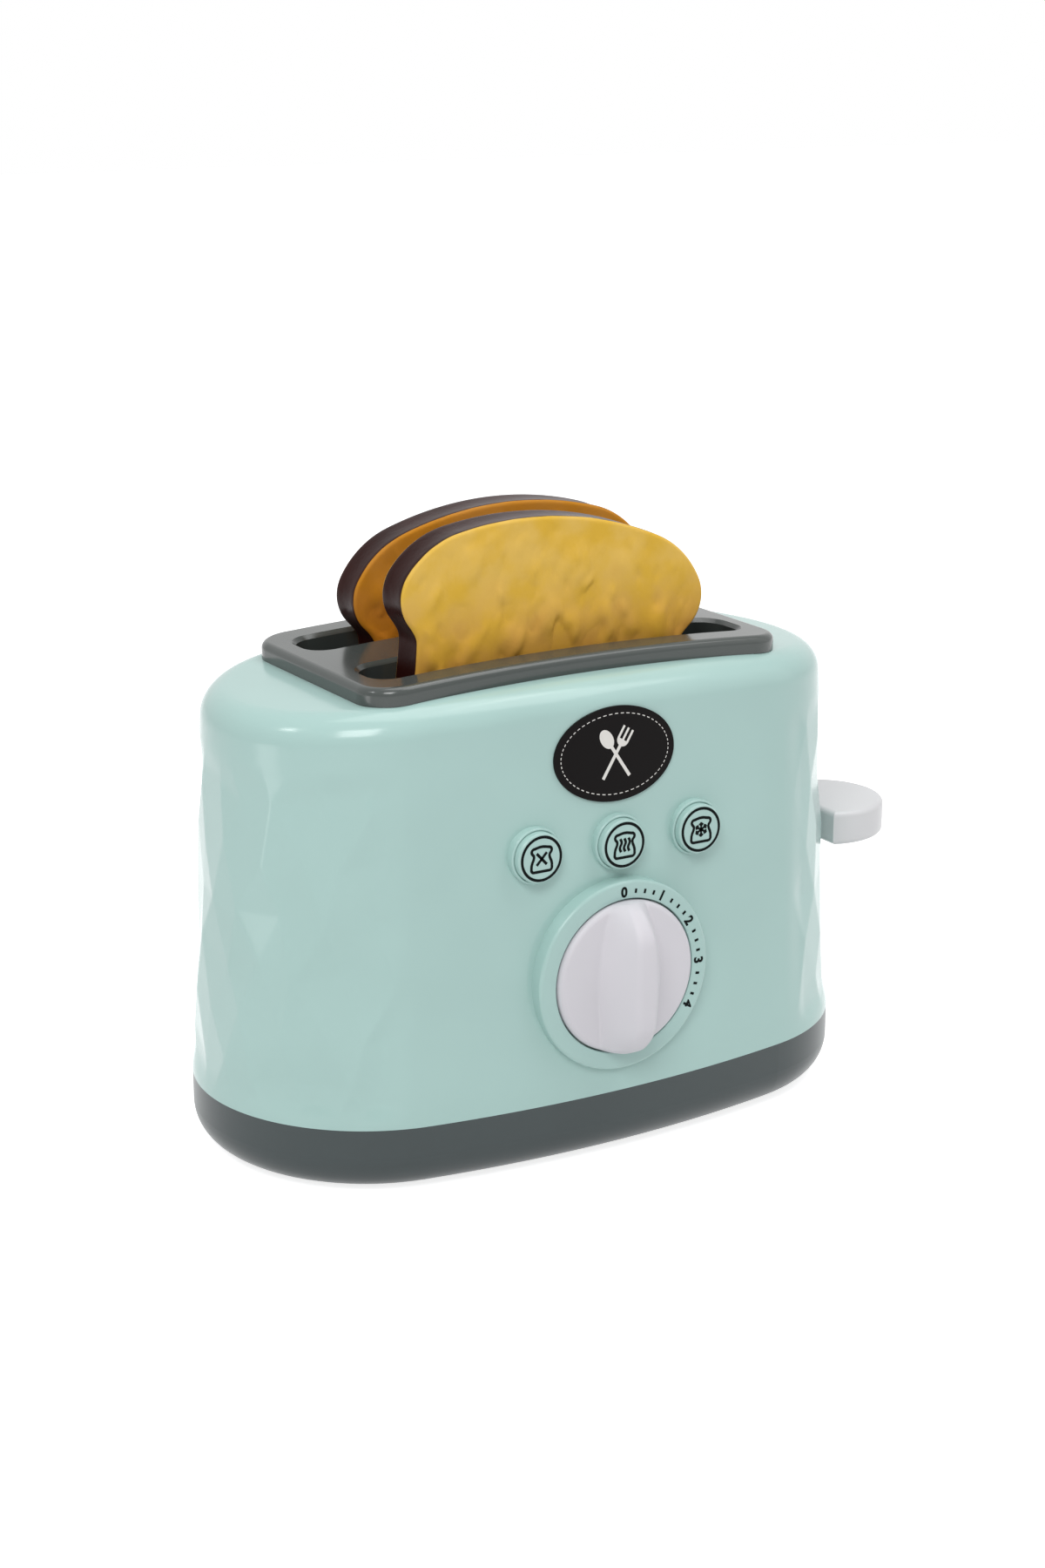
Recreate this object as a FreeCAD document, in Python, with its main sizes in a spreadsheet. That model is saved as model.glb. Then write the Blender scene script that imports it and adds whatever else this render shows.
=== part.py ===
"""Toy pop-up toaster with two bread slots, a wind-up dial and three press buttons.

Millimetres. +Z is up, +X points out through the lever and -Y is the dial side. The origin
lies on the surface that the four foot pads stand on, below the middle of the housing.
The carriage is up, the dial is at 0 and both slices stand in their slots.
"""

import FreeCAD, Part
import math
import os
import re

import Sketcher
from FreeCAD import Placement, Rotation, Vector

doc = FreeCAD.newDocument("toy_toaster")
sizes = doc.addObject("Spreadsheet::Sheet", "sizes")

DRIVING_SIZES = {
    # housing plan and profile
    "seam_half_length": 95.0,
    "seam_half_depth": 52.6,
    "bow_radius": 319.5,
    "draft_angle": 3.0,
    "foot_drop": 0.8,
    "band_height": 18.1,
    "shell_height": 110.15,
    "dome_radius": 786.0,
    "shoulder_round": 8.4,
    "wall": 2.5,
    # base tray
    "tray_floor": 2.5,
    "tray_round": 9.7,
    "lip_height": 3.0,
    "lip_wall": 1.6,
    "lip_gap": 0.4,
    "lip_root": 4.0,
    "foot_radius": 6.0,
    "foot_recess": 1.2,
    "foot_x": 42.0,
    "foot_y": 31.0,
    # screws into the base
    "tower_x": 60.0,
    "tower_y": 32.0,
    "tower_radius": 4.2,
    "boss_height": 26.0,
    "rib_wall": 1.8,
    "rib_reach": 14.0,
    "screw_radius": 1.4,
    "screw_head_radius": 2.8,
    "screw_head_height": 2.0,
    "screw_bite": 12.0,
    "head_pocket_depth": 8.0,
    "screw_gap": 0.05,
    "head_gap": 0.3,
    # top bezel and bread slots
    "bezel_half_length": 62.9,
    "bezel_half_depth": 36.0,
    "bezel_corner": 10.0,
    "bezel_height": 4.63,
    "bezel_edge_round": 2.0,
    "slot_end_rim": 6.9,
    "slot_half_width": 8.2,
    "slot_offset": 18.0,
    "slot_corner": 6.0,
    "slot_chamfer": 1.1,
    "chute_wall": 1.5,
    "chute_drop": 25.0,
    "opening_gap": 0.4,
    "peg_x": 46.0,
    "peg_y": 32.0,
    "peg_radius": 1.6,
    "peg_length": 7.0,
    "peg_tip_radius": 1.1,
    "peg_head_radius": 2.2,
    "peg_head_height": 2.4,
    "peg_gap": 0.1,
    # dial surround, knob and timer
    "dial_height": 51.3,
    "dial_proud": 2.95,
    "surround_radius": 26.2,
    "surround_slope": 0.3,
    "surround_root": 2.2,
    "recess_radius": 21.3,
    "recess_floor": 51.0,
    "knob_radius": 20.8,
    "knob_lift": 0.4,
    "knob_rim": 3.7,
    "knob_face": 1.6,
    "ridge_half_width": 5.6,
    "ridge_top_half_width": 4.2,
    "ridge_rise": 10.4,
    "ridge_round": 1.6,
    "ridge_end_round": 4.0,
    "shaft_radius": 3.0,
    "shaft_fit": 0.05,
    "shaft_flat": 0.8,
    "shaft_hole_gap": 0.6,
    "shaft_bite": 10.0,
    "shaft_grip": 8.0,
    "shaft_end_gap": 0.5,
    "case_radius": 18.0,
    "case_depth": 16.5,
    "case_standoff": 2.6,
    "case_round": 1.5,
    "ear_circle": 22.5,
    "ear_radius": 4.0,
    "ear_thickness": 3.0,
    "small_screw_radius": 1.2,
    "small_head_radius": 2.4,
    "small_head_height": 1.6,
    "small_screw_bite": 4.0,
    "pilot_spare": 0.5,
    # press buttons
    "button_rise": 35.5,
    "button_pitch": 24.4,
    "button_radius": 6.8,
    "button_fit": 0.08,
    "button_travel": 2.0,
    "button_crown": 0.7,
    "button_flange_radius": 8.7,
    "button_flange": 1.4,
    "collar_radius": 7.9,
    "collar_top_radius": 7.55,
    "button_seat_radius": 9.7,
    "collar_proud": 1.9,
    "collar_inside": 1.4,
    "dome_base_radius": 4.4,
    "dome_top_radius": 2.6,
    "dome_wall": 0.8,
    "dome_length": 5.0,
    "plate_half_length": 40.0,
    "plate_half_height": 9.0,
    "plate_thickness": 2.0,
    "plate_corner": 3.0,
    "plate_post_x": 36.5,
    "plate_post_radius": 3.2,
    # carriage, rods, springs and lever
    "rod_x": 68.0,
    "rod_radius": 2.0,
    "rod_fit": 0.08,
    "rod_seat_gap": 0.05,
    "rod_boss_radius": 4.4,
    "rod_boss_height": 8.7,
    "rod_top_boss_depth": 20.0,
    "rod_top_engage": 11.5,
    "cradle_floor_height": 76.25,
    "cradle_floor": 2.0,
    "cradle_wall": 1.5,
    "cradle_rise": 7.8,
    "cradle_half_length": 56.0,
    "slice_play": 0.8,
    "bridge_from": 50.0,
    "bridge_to": 62.0,
    "bridge_depth": 4.2,
    "bush_radius": 5.2,
    "bush_length": 16.35,
    "window_half_length": 9.0,
    "window_half_width": 3.2,
    "window_pitch": 34.0,
    "lever_travel": 38.0,
    "arm_thickness": 4.0,
    "arm_height": 7.0,
    "arm_from": 73.2,
    "arm_into_paddle": 12.0,
    "arm_slot_gap": 0.6,
    "socket_wall": 2.4,
    "socket_end": 82.0,
    "paddle_middle_x": 103.5,
    "paddle_radius": 18.0,
    "paddle_inner_x": 95.8,
    "paddle_height": 10.0,
    "paddle_round": 1.6,
    "lever_screw_radius": 1.1,
    "lever_head_radius": 2.1,
    "lever_head_height": 0.8,
    "lever_web": 0.7,
    "lever_screw_bite": 3.0,
    "spring_radius": 3.7,
    "spring_wire_radius": 0.5,
    "spring_turns": 7.0,
    "spring_turn_steps": 14.0,
    # badge
    "badge_low_gap": 2.9,
    "badge_high_gap": 6.65,
    "badge_half_length": 18.2,
    "badge_thickness": 0.6,
    "badge_reach": 8.0,
    # toy bread slices
    "slice_half_width": 40.0,
    "bulge_radius": 10.6,
    "bulge_middle_x": 35.5,
    "shoulder_radius": 26.0,
    "bread_arch_radius": 100.0,
    "bread_top": 21.4,
    "waist_half_width": 40.2,
    "waist_drop": 11.0,
    "hip_drop": 6.0,
    "bulge_tuck_angle": 50.0,
    "slice_drop": 66.5,
    "slice_foot_round": 5.0,
    "slice_thickness": 11.0,
    "slice_edge_round": 1.6,
    "slice_seat_gap": 0.05,
    "front_slice_shift": 2.4,
    "front_slice_tilt": 6.5,
    "rear_slice_shift": 3.0,
    "rear_slice_tilt": 1.8,
}


def fill_sheet():
    """Write each driving size into a cell of the sheet, under its own name."""
    for row, (name, value) in enumerate(DRIVING_SIZES.items(), 1):
        sizes.set(f"A{row}", name)
        sizes.set(f"B{row}", str(value))
        sizes.setAlias(f"B{row}", name)


fill_sheet()
doc.recompute()

# Places that follow from the driving sizes, written as expressions on them.
SEAM = "(foot_drop + band_height)"
CROWN = "(foot_drop + band_height + shell_height)"
FLOOR_TOP = "(foot_drop + tray_floor)"
BUSH_LOW = "(cradle_floor_height - bush_length)"
ARM_LOW = f"({BUSH_LOW} + socket_wall)"
BUTTON_HEIGHT = "(dial_height + button_rise)"
BADGE_LOW = f"({BUTTON_HEIGHT} + collar_radius + badge_low_gap)"
BADGE_HIGH = f"({CROWN} - badge_high_gap)"
SLOT_HALF_LENGTH = "(bezel_half_length - slot_end_rim)"
CRADLE_HALF = "(slice_thickness / 2 + slice_play)"

# How far a cutting tool runs past a face, and how deep two fused pieces share material.
OVER = "1.0"
WELD = "0.5"

# How near two places count as one when edges are picked.
NEAR = 0.01


def linked(expression):
    """The same expression with every size name pointing at its cell."""
    return re.sub(
        r"[a-z_]+",
        lambda word: f"sizes.{word.group()}" if word.group() in DRIVING_SIZES else word.group(),
        str(expression),
    )


probe = doc.addObject("App::FeaturePython", "probe")
probe.addProperty("App::PropertyFloat", "amount")


def number(expression):
    """What an expression on the driving sizes comes to, in millimetres."""
    probe.setExpression("amount", linked(expression))
    probe.recompute()
    return float(probe.amount)


def bind(thing, prop, expression):
    """Tie one property of an object to the driving sizes."""
    thing.setExpression(prop, linked(expression))


def place(thing, x=0, y=0, z=0):
    """Tie an object's position to the driving sizes."""
    bind(thing, "Placement.Base.x", x)
    bind(thing, "Placement.Base.y", y)
    bind(thing, "Placement.Base.z", z)


TURNS = {
    "+z": Rotation(),
    "+x": Rotation(Vector(0, 1, 0), 90),
    "-y": Rotation(Vector(1, 0, 0), 90),
    "+y": Rotation(Vector(1, 0, 0), -90),
}


def block(name, length, width, height, x, y, z):
    """A box whose low corner is at x, y, z."""
    solid = doc.addObject("Part::Box", name)
    bind(solid, "Length", length)
    bind(solid, "Width", width)
    bind(solid, "Height", height)
    place(solid, x, y, z)
    return solid


def rod(name, radius, length, x, y, z, along="+z"):
    """A cylinder that starts at x, y, z and runs the given way."""
    solid = doc.addObject("Part::Cylinder", name)
    solid.Placement = Placement(Vector(), TURNS[along])
    bind(solid, "Radius", radius)
    bind(solid, "Height", length)
    place(solid, x, y, z)
    return solid


def taper(name, start_radius, end_radius, length, x, y, z, along="+z"):
    """A cone frustum that starts at x, y, z and runs the given way."""
    solid = doc.addObject("Part::Cone", name)
    solid.Placement = Placement(Vector(), TURNS[along])
    bind(solid, "Radius1", start_radius)
    bind(solid, "Radius2", end_radius)
    bind(solid, "Height", length)
    place(solid, x, y, z)
    return solid


def fuse(name, solids):
    """The given solids as one."""
    joined = doc.addObject("Part::MultiFuse", name)
    joined.Shapes = solids
    return joined


def cut(name, base, tool):
    """The base without what the tool covers."""
    result = doc.addObject("Part::Cut", name)
    result.Base = base
    result.Tool = tool
    return result


def overlap(name, first, second):
    """What two solids share."""
    result = doc.addObject("Part::Common", name)
    result.Base = first
    result.Tool = second
    return result


def group(name, solids):
    """Separate solids that share one node."""
    bundle = doc.addObject("Part::Compound", name)
    bundle.Links = solids
    return bundle


def new_body(name):
    return doc.addObject("PartDesign::Body", name)


def origin_plane(body, role):
    return next(item for item in body.Origin.OriginFeatures if item.Role == role)


def new_sketch(body, name, role="XY_Plane", offset="0"):
    """A sketch on one of the body's own planes, moved along the plane's normal."""
    sketch = body.newObject("Sketcher::SketchObject", name)
    sketch.AttachmentSupport = (origin_plane(body, role), [""])
    sketch.MapMode = "FlatFace"
    bind(sketch, "AttachmentOffset.Base.z", offset)
    return sketch


def driven(sketch, expression, *constraint):
    """Add a dimension to a sketch and tie it to the driving sizes."""
    index = sketch.addConstraint(Sketcher.Constraint(*constraint, number(expression)))
    bind(sketch, f"Constraints[{index}]", expression)


def arc(sketch, middle, radius, start, end):
    """A counter-clockwise arc between two angles."""
    circle = Part.Circle(Vector(*middle, 0), Vector(0, 0, 1), radius)
    return sketch.addGeometry(Part.ArcOfCircle(circle, start, end))


def bowed_outline(body, name, inset, height):
    """The housing's plan: two long bowed sides and two round ends, all tangent.

    Two arcs of bow_radius face -Y and +Y. The end arcs touch them, so their radius
    follows from the half length and the half depth.
    """
    length = f"(seam_half_length - {inset})"
    depth = f"(seam_half_depth - {inset})"
    bow = f"(bow_radius - {inset})"
    end = f"((2 * {bow} * {depth} - {length} * {length} - {depth} * {depth}) / (2 * ({bow} - {length})))"
    side_y = number(f"{bow} - {depth}")
    end_x = number(f"{length} - {end}")
    swing = math.atan2(side_y, end_x)
    sketch = new_sketch(body, name, offset=height)
    front = arc(sketch, (0, side_y), number(bow), swing - math.pi, -swing)
    right = arc(sketch, (end_x, 0), number(end), -swing, swing)
    back = arc(sketch, (0, -side_y), number(bow), swing, math.pi - swing)
    left = arc(sketch, (-end_x, 0), number(end), math.pi - swing, math.pi + swing)
    for one, other in ((front, right), (right, back), (back, left), (left, front)):
        sketch.addConstraint(Sketcher.Constraint("Tangent", one, 2, other, 1))
    sketch.addConstraint(Sketcher.Constraint("PointOnObject", front, 3, -2))
    for tip in (right, left):
        sketch.addConstraint(Sketcher.Constraint("PointOnObject", tip, 3, -1))
    sketch.addConstraint(Sketcher.Constraint("Equal", front, back))
    sketch.addConstraint(Sketcher.Constraint("Equal", right, left))
    driven(sketch, bow, "Radius", front)
    driven(sketch, f"{bow} - {depth}", "DistanceY", -1, 1, front, 3)
    driven(sketch, f"{length} - {end}", "DistanceX", -1, 1, right, 3)
    return sketch


def rounded_rectangle(sketch, length, width, corner, y="0"):
    """A rectangle with round corners, centred on the point 0, y of the sketch."""
    radius = number(corner)
    high_x = number(f"{length} / 2")
    low_y = number(f"{y} - {width} / 2")
    high_y = number(f"{y} + {width} / 2")
    near_x = high_x - radius
    low = low_y + radius
    high = high_y - radius
    ends = [
        ((-near_x, low_y), (near_x, low_y)),
        ((high_x, low), (high_x, high)),
        ((near_x, high_y), (-near_x, high_y)),
        ((-high_x, high), (-high_x, low)),
    ]
    middles = [(near_x, low), (near_x, high), (-near_x, high), (-near_x, low)]
    sides = [sketch.addGeometry(Part.LineSegment(Vector(*one, 0), Vector(*two, 0))) for one, two in ends]
    turns = []
    for index, middle in enumerate(middles):
        start = (index - 1) * math.pi / 2
        turns.append(arc(sketch, middle, radius, start, start + math.pi / 2))
    for index in range(4):
        sketch.addConstraint(Sketcher.Constraint("Tangent", sides[index], 2, turns[index], 1))
        sketch.addConstraint(Sketcher.Constraint("Tangent", turns[index], 2, sides[(index + 1) % 4], 1))
        level = "Horizontal" if index % 2 == 0 else "Vertical"
        sketch.addConstraint(Sketcher.Constraint(level, sides[index]))
    for turn in turns[1:]:
        sketch.addConstraint(Sketcher.Constraint("Equal", turns[0], turn))
    driven(sketch, corner, "Radius", turns[0])
    driven(sketch, f"({length} - 2 * {corner})", "DistanceX", sides[0], 1, sides[0], 2)
    driven(sketch, f"({width} - 2 * {corner})", "DistanceY", sides[1], 1, sides[1], 2)
    driven(sketch, f"({corner} - {length} / 2)", "DistanceX", -1, 1, sides[0], 1)
    driven(sketch, f"({y} - {width} / 2)", "DistanceY", -1, 1, sides[0], 1)


def arch(sketch, radius, crown, reach, far):
    """The region between a shallow arch through the crown and a level line at far."""
    rise = number(radius)
    middle = number(f"{crown} - {radius}")
    half = number(reach)
    lean = math.asin(half / rise)
    shoulder = middle + rise * math.cos(lean)
    level = number(far)
    bow = arc(sketch, (0, middle), rise, math.pi / 2 - lean, math.pi / 2 + lean)
    left = sketch.addGeometry(Part.LineSegment(Vector(-half, shoulder, 0), Vector(-half, level, 0)))
    top = sketch.addGeometry(Part.LineSegment(Vector(-half, level, 0), Vector(half, level, 0)))
    right = sketch.addGeometry(Part.LineSegment(Vector(half, level, 0), Vector(half, shoulder, 0)))
    for one, other in ((bow, left), (left, top), (top, right), (right, bow)):
        sketch.addConstraint(Sketcher.Constraint("Coincident", one, 2, other, 1))
    sketch.addConstraint(Sketcher.Constraint("Vertical", left))
    sketch.addConstraint(Sketcher.Constraint("Horizontal", top))
    sketch.addConstraint(Sketcher.Constraint("Vertical", right))
    sketch.addConstraint(Sketcher.Constraint("PointOnObject", bow, 3, -2))
    driven(sketch, radius, "Radius", bow)
    driven(sketch, f"{crown} - {radius}", "DistanceY", -1, 1, bow, 3)
    driven(sketch, far, "DistanceY", -1, 1, top, 1)
    driven(sketch, reach, "DistanceX", -1, 1, top, 2)
    driven(sketch, f"2 * {reach}", "DistanceX", top, 1, top, 2)


def pad(body, sketch, length, name):
    feature = body.newObject("PartDesign::Pad", name)
    feature.Profile = sketch
    bind(feature, "Length", length)
    return feature


def pocket_through(body, sketch, name):
    """Cut the sketch's region right through the body, both ways."""
    feature = body.newObject("PartDesign::Pocket", name)
    feature.Profile = sketch
    feature.Type = 1
    feature.Midplane = True
    return feature


def dress(body, kind, size_name, radius, base, wanted, name):
    """Round or chamfer the edges of the base feature that the wanted test picks."""
    doc.recompute()
    picked = [f"Edge{n}" for n, edge in enumerate(base.Shape.Edges, 1) if wanted(edge)]
    if not picked:
        raise RuntimeError(f"{name} found no edge")
    feature = body.newObject(f"PartDesign::{kind}", name)
    feature.Base = (base, picked)
    bind(feature, size_name, radius)
    return feature


def is_upright(edge):
    """True for a straight edge that runs along Z."""
    if edge.Curve.TypeId != "Part::GeomLine":
        return False
    return abs(edge.Curve.Direction.z) > 1 - NEAR


def within(edge, low=None, high=None):
    """True if the edge's box lies between two heights."""
    box = edge.BoundBox
    return (low is None or box.ZMin > low) and (high is None or box.ZMax < high)


def ends_at(edge, height):
    """True if the whole edge lies at one height."""
    box = edge.BoundBox
    return abs(box.ZMin - height) < NEAR and abs(box.ZMax - height) < NEAR


def disc_sketch(body, name, radius):
    """A circle about the body's own Z axis."""
    sketch = new_sketch(body, name)
    sketch.addGeometry(Part.Circle(Vector(), Vector(0, 0, 1), number(radius)))
    sketch.addConstraint(Sketcher.Constraint("Coincident", 0, 3, -1, 1))
    driven(sketch, radius, "Radius", 0)
    return sketch


def round_bar(name, radius, length, along, rounding):
    """A round bar whose far edge is rounded."""
    body = new_body(name)
    body.Placement = Placement(Vector(), TURNS[along])
    bar = pad(body, disc_sketch(body, f"{name}_disc", radius), length, f"{name}_bar")
    far = number(length)
    dress(body, "Fillet", "Radius", rounding, bar, lambda edge: ends_at(edge, far), f"{name}_round")
    return body


NODES = []


def node(thing, label):
    """Keep an object as a sub-part of the toaster, under its own label."""
    thing.Label = label
    NODES.append(thing)
    return thing


# ---- Housing hull: the same domed, leaning form at any inset -----------------------------


def hull(name, inset, low, rounding):
    """The housing's form, moved in by an inset, from a low height up to its dome."""
    body = new_body(name)
    low_inset = f"({inset} + tan(draft_angle) * ({low} - {SEAM}))"
    outline = bowed_outline(body, f"{name}_plan", low_inset, low)
    walls = pad(body, outline, f"({CROWN} + {OVER} - {low})", f"{name}_walls")
    bind(walls, "TaperAngle", "(0 - draft_angle)")
    dome_sketch = new_sketch(body, f"{name}_dome_sketch", "XZ_Plane")
    arch(dome_sketch, f"(dome_radius - {inset})", f"({CROWN} - {inset})", "seam_half_length",
         f"({CROWN} + 2 * {OVER})")
    dome = pocket_through(body, dome_sketch, f"{name}_dome")
    doc.recompute()
    roof = number(f"{CROWN} - shell_height / 2")
    dress(body, "Fillet", "Radius", rounding, dome, lambda edge: within(edge, low=roof), f"{name}_shoulder")
    return body


# Half depth of the outer skin at a height, and its loss at a distance from the middle.
def skin_depth(height):
    return f"(seam_half_depth - tan(draft_angle) * ({height} - {SEAM}))"


def bow_loss(x, height):
    bow = f"(bow_radius - tan(draft_angle) * ({height} - {SEAM}))"
    return f"({bow} - sqrt({bow} * {bow} - {x} * {x}))"


outer_hull = hull("outer_hull", "0", SEAM, "shoulder_round")
inner_hull = hull("inner_hull", "wall", f"({SEAM} - {OVER})", "(shoulder_round - wall)")

# ---- Body shell ------------------------------------------------------------------------

dial_surround = taper(
    "dial_surround", "surround_radius", "(surround_radius - surround_slope)",
    "(dial_proud + surround_root)", 0, "-(recess_floor - surround_root)", "dial_height", "-y",
)
raised_parts = [outer_hull, dial_surround]
holes = []
inside_parts = []

BUTTONS = {"left": -1, "middle": 0, "right": 1}


def button_surface(side):
    """How far the skin stands out from the middle plane at one button."""
    loss = bow_loss(f"({side} * button_pitch)", BUTTON_HEIGHT)
    return f"({skin_depth(BUTTON_HEIGHT)} - {loss})"


for word, side in BUTTONS.items():
    skin = button_surface(side)
    x = f"{side} * button_pitch"
    collar = taper(
        f"collar_{word}", "collar_radius", "collar_top_radius", "(collar_proud + collar_inside)",
        x, f"-({skin} - collar_inside)", BUTTON_HEIGHT, "-y",
    )
    raised_parts.append(collar)
    seat_ring = rod(
        f"button_seat_{word}", "button_seat_radius", "(wall + collar_inside)",
        x, f"-({skin} - wall - collar_inside)", BUTTON_HEIGHT, "-y",
    )
    inside_parts.append(seat_ring)
    bore = rod(
        f"button_bore_{word}", "(button_radius + button_fit)",
        f"(wall + collar_inside + collar_proud + button_travel + 2 * {OVER})",
        x, f"-({skin} - wall - collar_inside - {OVER})", BUTTON_HEIGHT, "-y",
    )
    holes.append(bore)

CASE_FRONT = f"({skin_depth('dial_height')} - wall - case_standoff)"
knob_recess = rod(
    "knob_recess", "recess_radius", f"(dial_proud + {OVER})", 0, "-recess_floor", "dial_height", "-y"
)
shaft_hole = rod(
    "shaft_hole", "(shaft_radius + shaft_hole_gap)", f"(recess_floor - {CASE_FRONT} + {OVER})", 0,
    f"-{CASE_FRONT}", "dial_height", "-y",
)
holes += [knob_recess, shaft_hole]

EAR_ANGLES = (-90, 30, 150)


def ear_place(angle):
    """Centre of one timer ear, as x and z expressions."""
    turn = math.radians(angle)
    return (
        f"(ear_circle * {math.cos(turn):.6f})",
        f"(dial_height + ear_circle * {math.sin(turn):.6f})",
    )


for angle in EAR_ANGLES:
    x, z = ear_place(angle)
    tag = f"{angle}".replace("-", "low_")
    inside_parts.append(
        rod(f"timer_post_{tag}", "ear_radius", "(case_standoff + wall)", x, f"-{CASE_FRONT}", z, "-y")
    )
    holes.append(
        rod(f"timer_pilot_{tag}", "(small_screw_radius + screw_gap)", "(small_screw_bite + pilot_spare)",
            x, f"-{CASE_FRONT}", z, "-y")
    )

# Posts that carry the plate behind the buttons.
PLATE_FRONT = f"({button_surface(0)} - wall - collar_inside - button_flange - dome_length)"
for side in (-1, 1):
    x = f"{side} * plate_post_x"
    tag = "left" if side < 0 else "right"
    inside_parts.append(
        rod(f"plate_post_{tag}", "plate_post_radius", f"({skin_depth(BUTTON_HEIGHT)} - {PLATE_FRONT})",
            x, f"-{PLATE_FRONT}", BUTTON_HEIGHT, "-y")
    )
    holes.append(
        rod(f"plate_pilot_{tag}", "(small_screw_radius + screw_gap)", "(small_screw_bite + pilot_spare)",
            x, f"-{PLATE_FRONT}", BUTTON_HEIGHT, "-y")
    )

# Bosses for the base screws, each tied to the side wall by a rib.
CORNERS = {"front_left": (-1, -1), "front_right": (1, -1), "back_left": (-1, 1), "back_right": (1, 1)}
for tag, (side_x, side_y) in CORNERS.items():
    x = f"{side_x} * tower_x"
    y = f"{side_y} * tower_y"
    inside_parts.append(rod(f"boss_{tag}", "tower_radius", "boss_height", x, y, SEAM))
    rib_y = y if side_y > 0 else "-(tower_y + rib_reach)"
    inside_parts.append(
        block(f"boss_rib_{tag}", "rib_wall", "rib_reach", "(boss_height - lip_height - lip_gap)",
              f"{x} - rib_wall / 2", rib_y, f"({SEAM} + lip_height + lip_gap)")
    )
    holes.append(
        rod(f"boss_pilot_{tag}", "(screw_radius + screw_gap)", f"(screw_bite + pilot_spare + {OVER})",
            x, y, f"({SEAM} - {OVER})")
    )

# Bosses under the roof that hold the tops of the guide rods.
ROD_TOP_LOW = f"({CROWN} - rod_top_boss_depth)"
for side in (-1, 1):
    tag = "left" if side < 0 else "right"
    x = f"{side} * rod_x"
    inside_parts.append(
        rod(f"rod_top_boss_{tag}", "rod_boss_radius", "rod_top_boss_depth", x, 0, ROD_TOP_LOW)
    )
    holes.append(
        rod(f"rod_top_bore_{tag}", "(rod_radius + rod_seat_gap)", f"(rod_top_engage + pilot_spare + {OVER})",
            x, 0, f"({ROD_TOP_LOW} - {OVER})")
    )

# The roof opening clears both chutes; small holes take the bezel's pegs.
OPENING_HALF_LENGTH = f"({SLOT_HALF_LENGTH} + chute_wall + opening_gap)"
OPENING_HALF_DEPTH = "(slot_offset + slot_half_width + chute_wall + opening_gap)"
opening_body = new_body("roof_opening")
opening_sketch = new_sketch(opening_body, "roof_opening_sketch", offset=f"({CROWN} - chute_drop)")
rounded_rectangle(
    opening_sketch, f"(2 * {OPENING_HALF_LENGTH})", f"(2 * {OPENING_HALF_DEPTH})", "slot_corner"
)
pad(opening_body, opening_sketch, f"(chute_drop + {OVER})", "roof_opening_pad")
holes.append(opening_body)
for tag, (side_x, side_y) in CORNERS.items():
    holes.append(
        rod(f"peg_hole_{tag}", "(peg_radius + peg_gap)", f"(peg_length + {OVER})", f"{side_x} * peg_x",
            f"{side_y} * peg_y", f"({CROWN} - peg_length)")
    )

# The slot that the lever arm runs in.
holes.append(
    block("lever_slot", f"(seam_half_length - socket_end + {OVER})", "(arm_thickness + 2 * arm_slot_gap)",
          "(arm_height + lever_travel + 2 * arm_slot_gap)",
          "socket_end", "-(arm_thickness / 2 + arm_slot_gap)",
          f"({ARM_LOW} - lever_travel - arm_slot_gap)")
)

shell_skin = fuse("shell_skin", raised_parts)
shell_hollow = cut("shell_hollow", shell_skin, inner_hull)
shell_inside = overlap("shell_inside", fuse("shell_inside_parts", inside_parts), outer_hull)
shell_whole = fuse("shell_whole", [shell_hollow, shell_inside])
node(cut("body_shell_cut", shell_whole, fuse("shell_holes", holes)), "body_shell")

# ---- Base tray, feet and screws -----------------------------------------------------------


def plan_slab(name, inset, low, high, rounding=None):
    """A slab of the seam outline between two heights, with its lower edge rounded."""
    body = new_body(name)
    sketch = bowed_outline(body, f"{name}_plan", inset, low)
    slab = pad(body, sketch, f"({high} - {low})", f"{name}_pad")
    if rounding:
        base = number(low)
        dress(body, "Fillet", "Radius", rounding, slab, lambda edge: ends_at(edge, base), f"{name}_round")
    return body


tray_outer = plan_slab("tray_outer", "0", "foot_drop", SEAM, "tray_round")
tray_inner = plan_slab("tray_inner", "wall", FLOOR_TOP, f"({SEAM} + {OVER})", "(tray_round - wall)")
tray_dish = cut("tray_dish", tray_outer, tray_inner)
LIP_INSIDE = "(wall + lip_gap + lip_wall)"
lip_root = plan_slab("lip_root", f"(wall - {WELD})", f"({SEAM} - lip_root)", SEAM)
lip_ring = plan_slab("lip_ring", "(wall + lip_gap)", f"({SEAM} - {WELD})", f"({SEAM} + lip_height)")
lip_bore = plan_slab(
    "lip_bore", LIP_INSIDE, f"({SEAM} - lip_root - {OVER})", f"({SEAM} + lip_height + {OVER})"
)
tray_lip = cut("tray_lip", fuse("lip_rings", [lip_root, lip_ring]), lip_bore)

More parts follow.
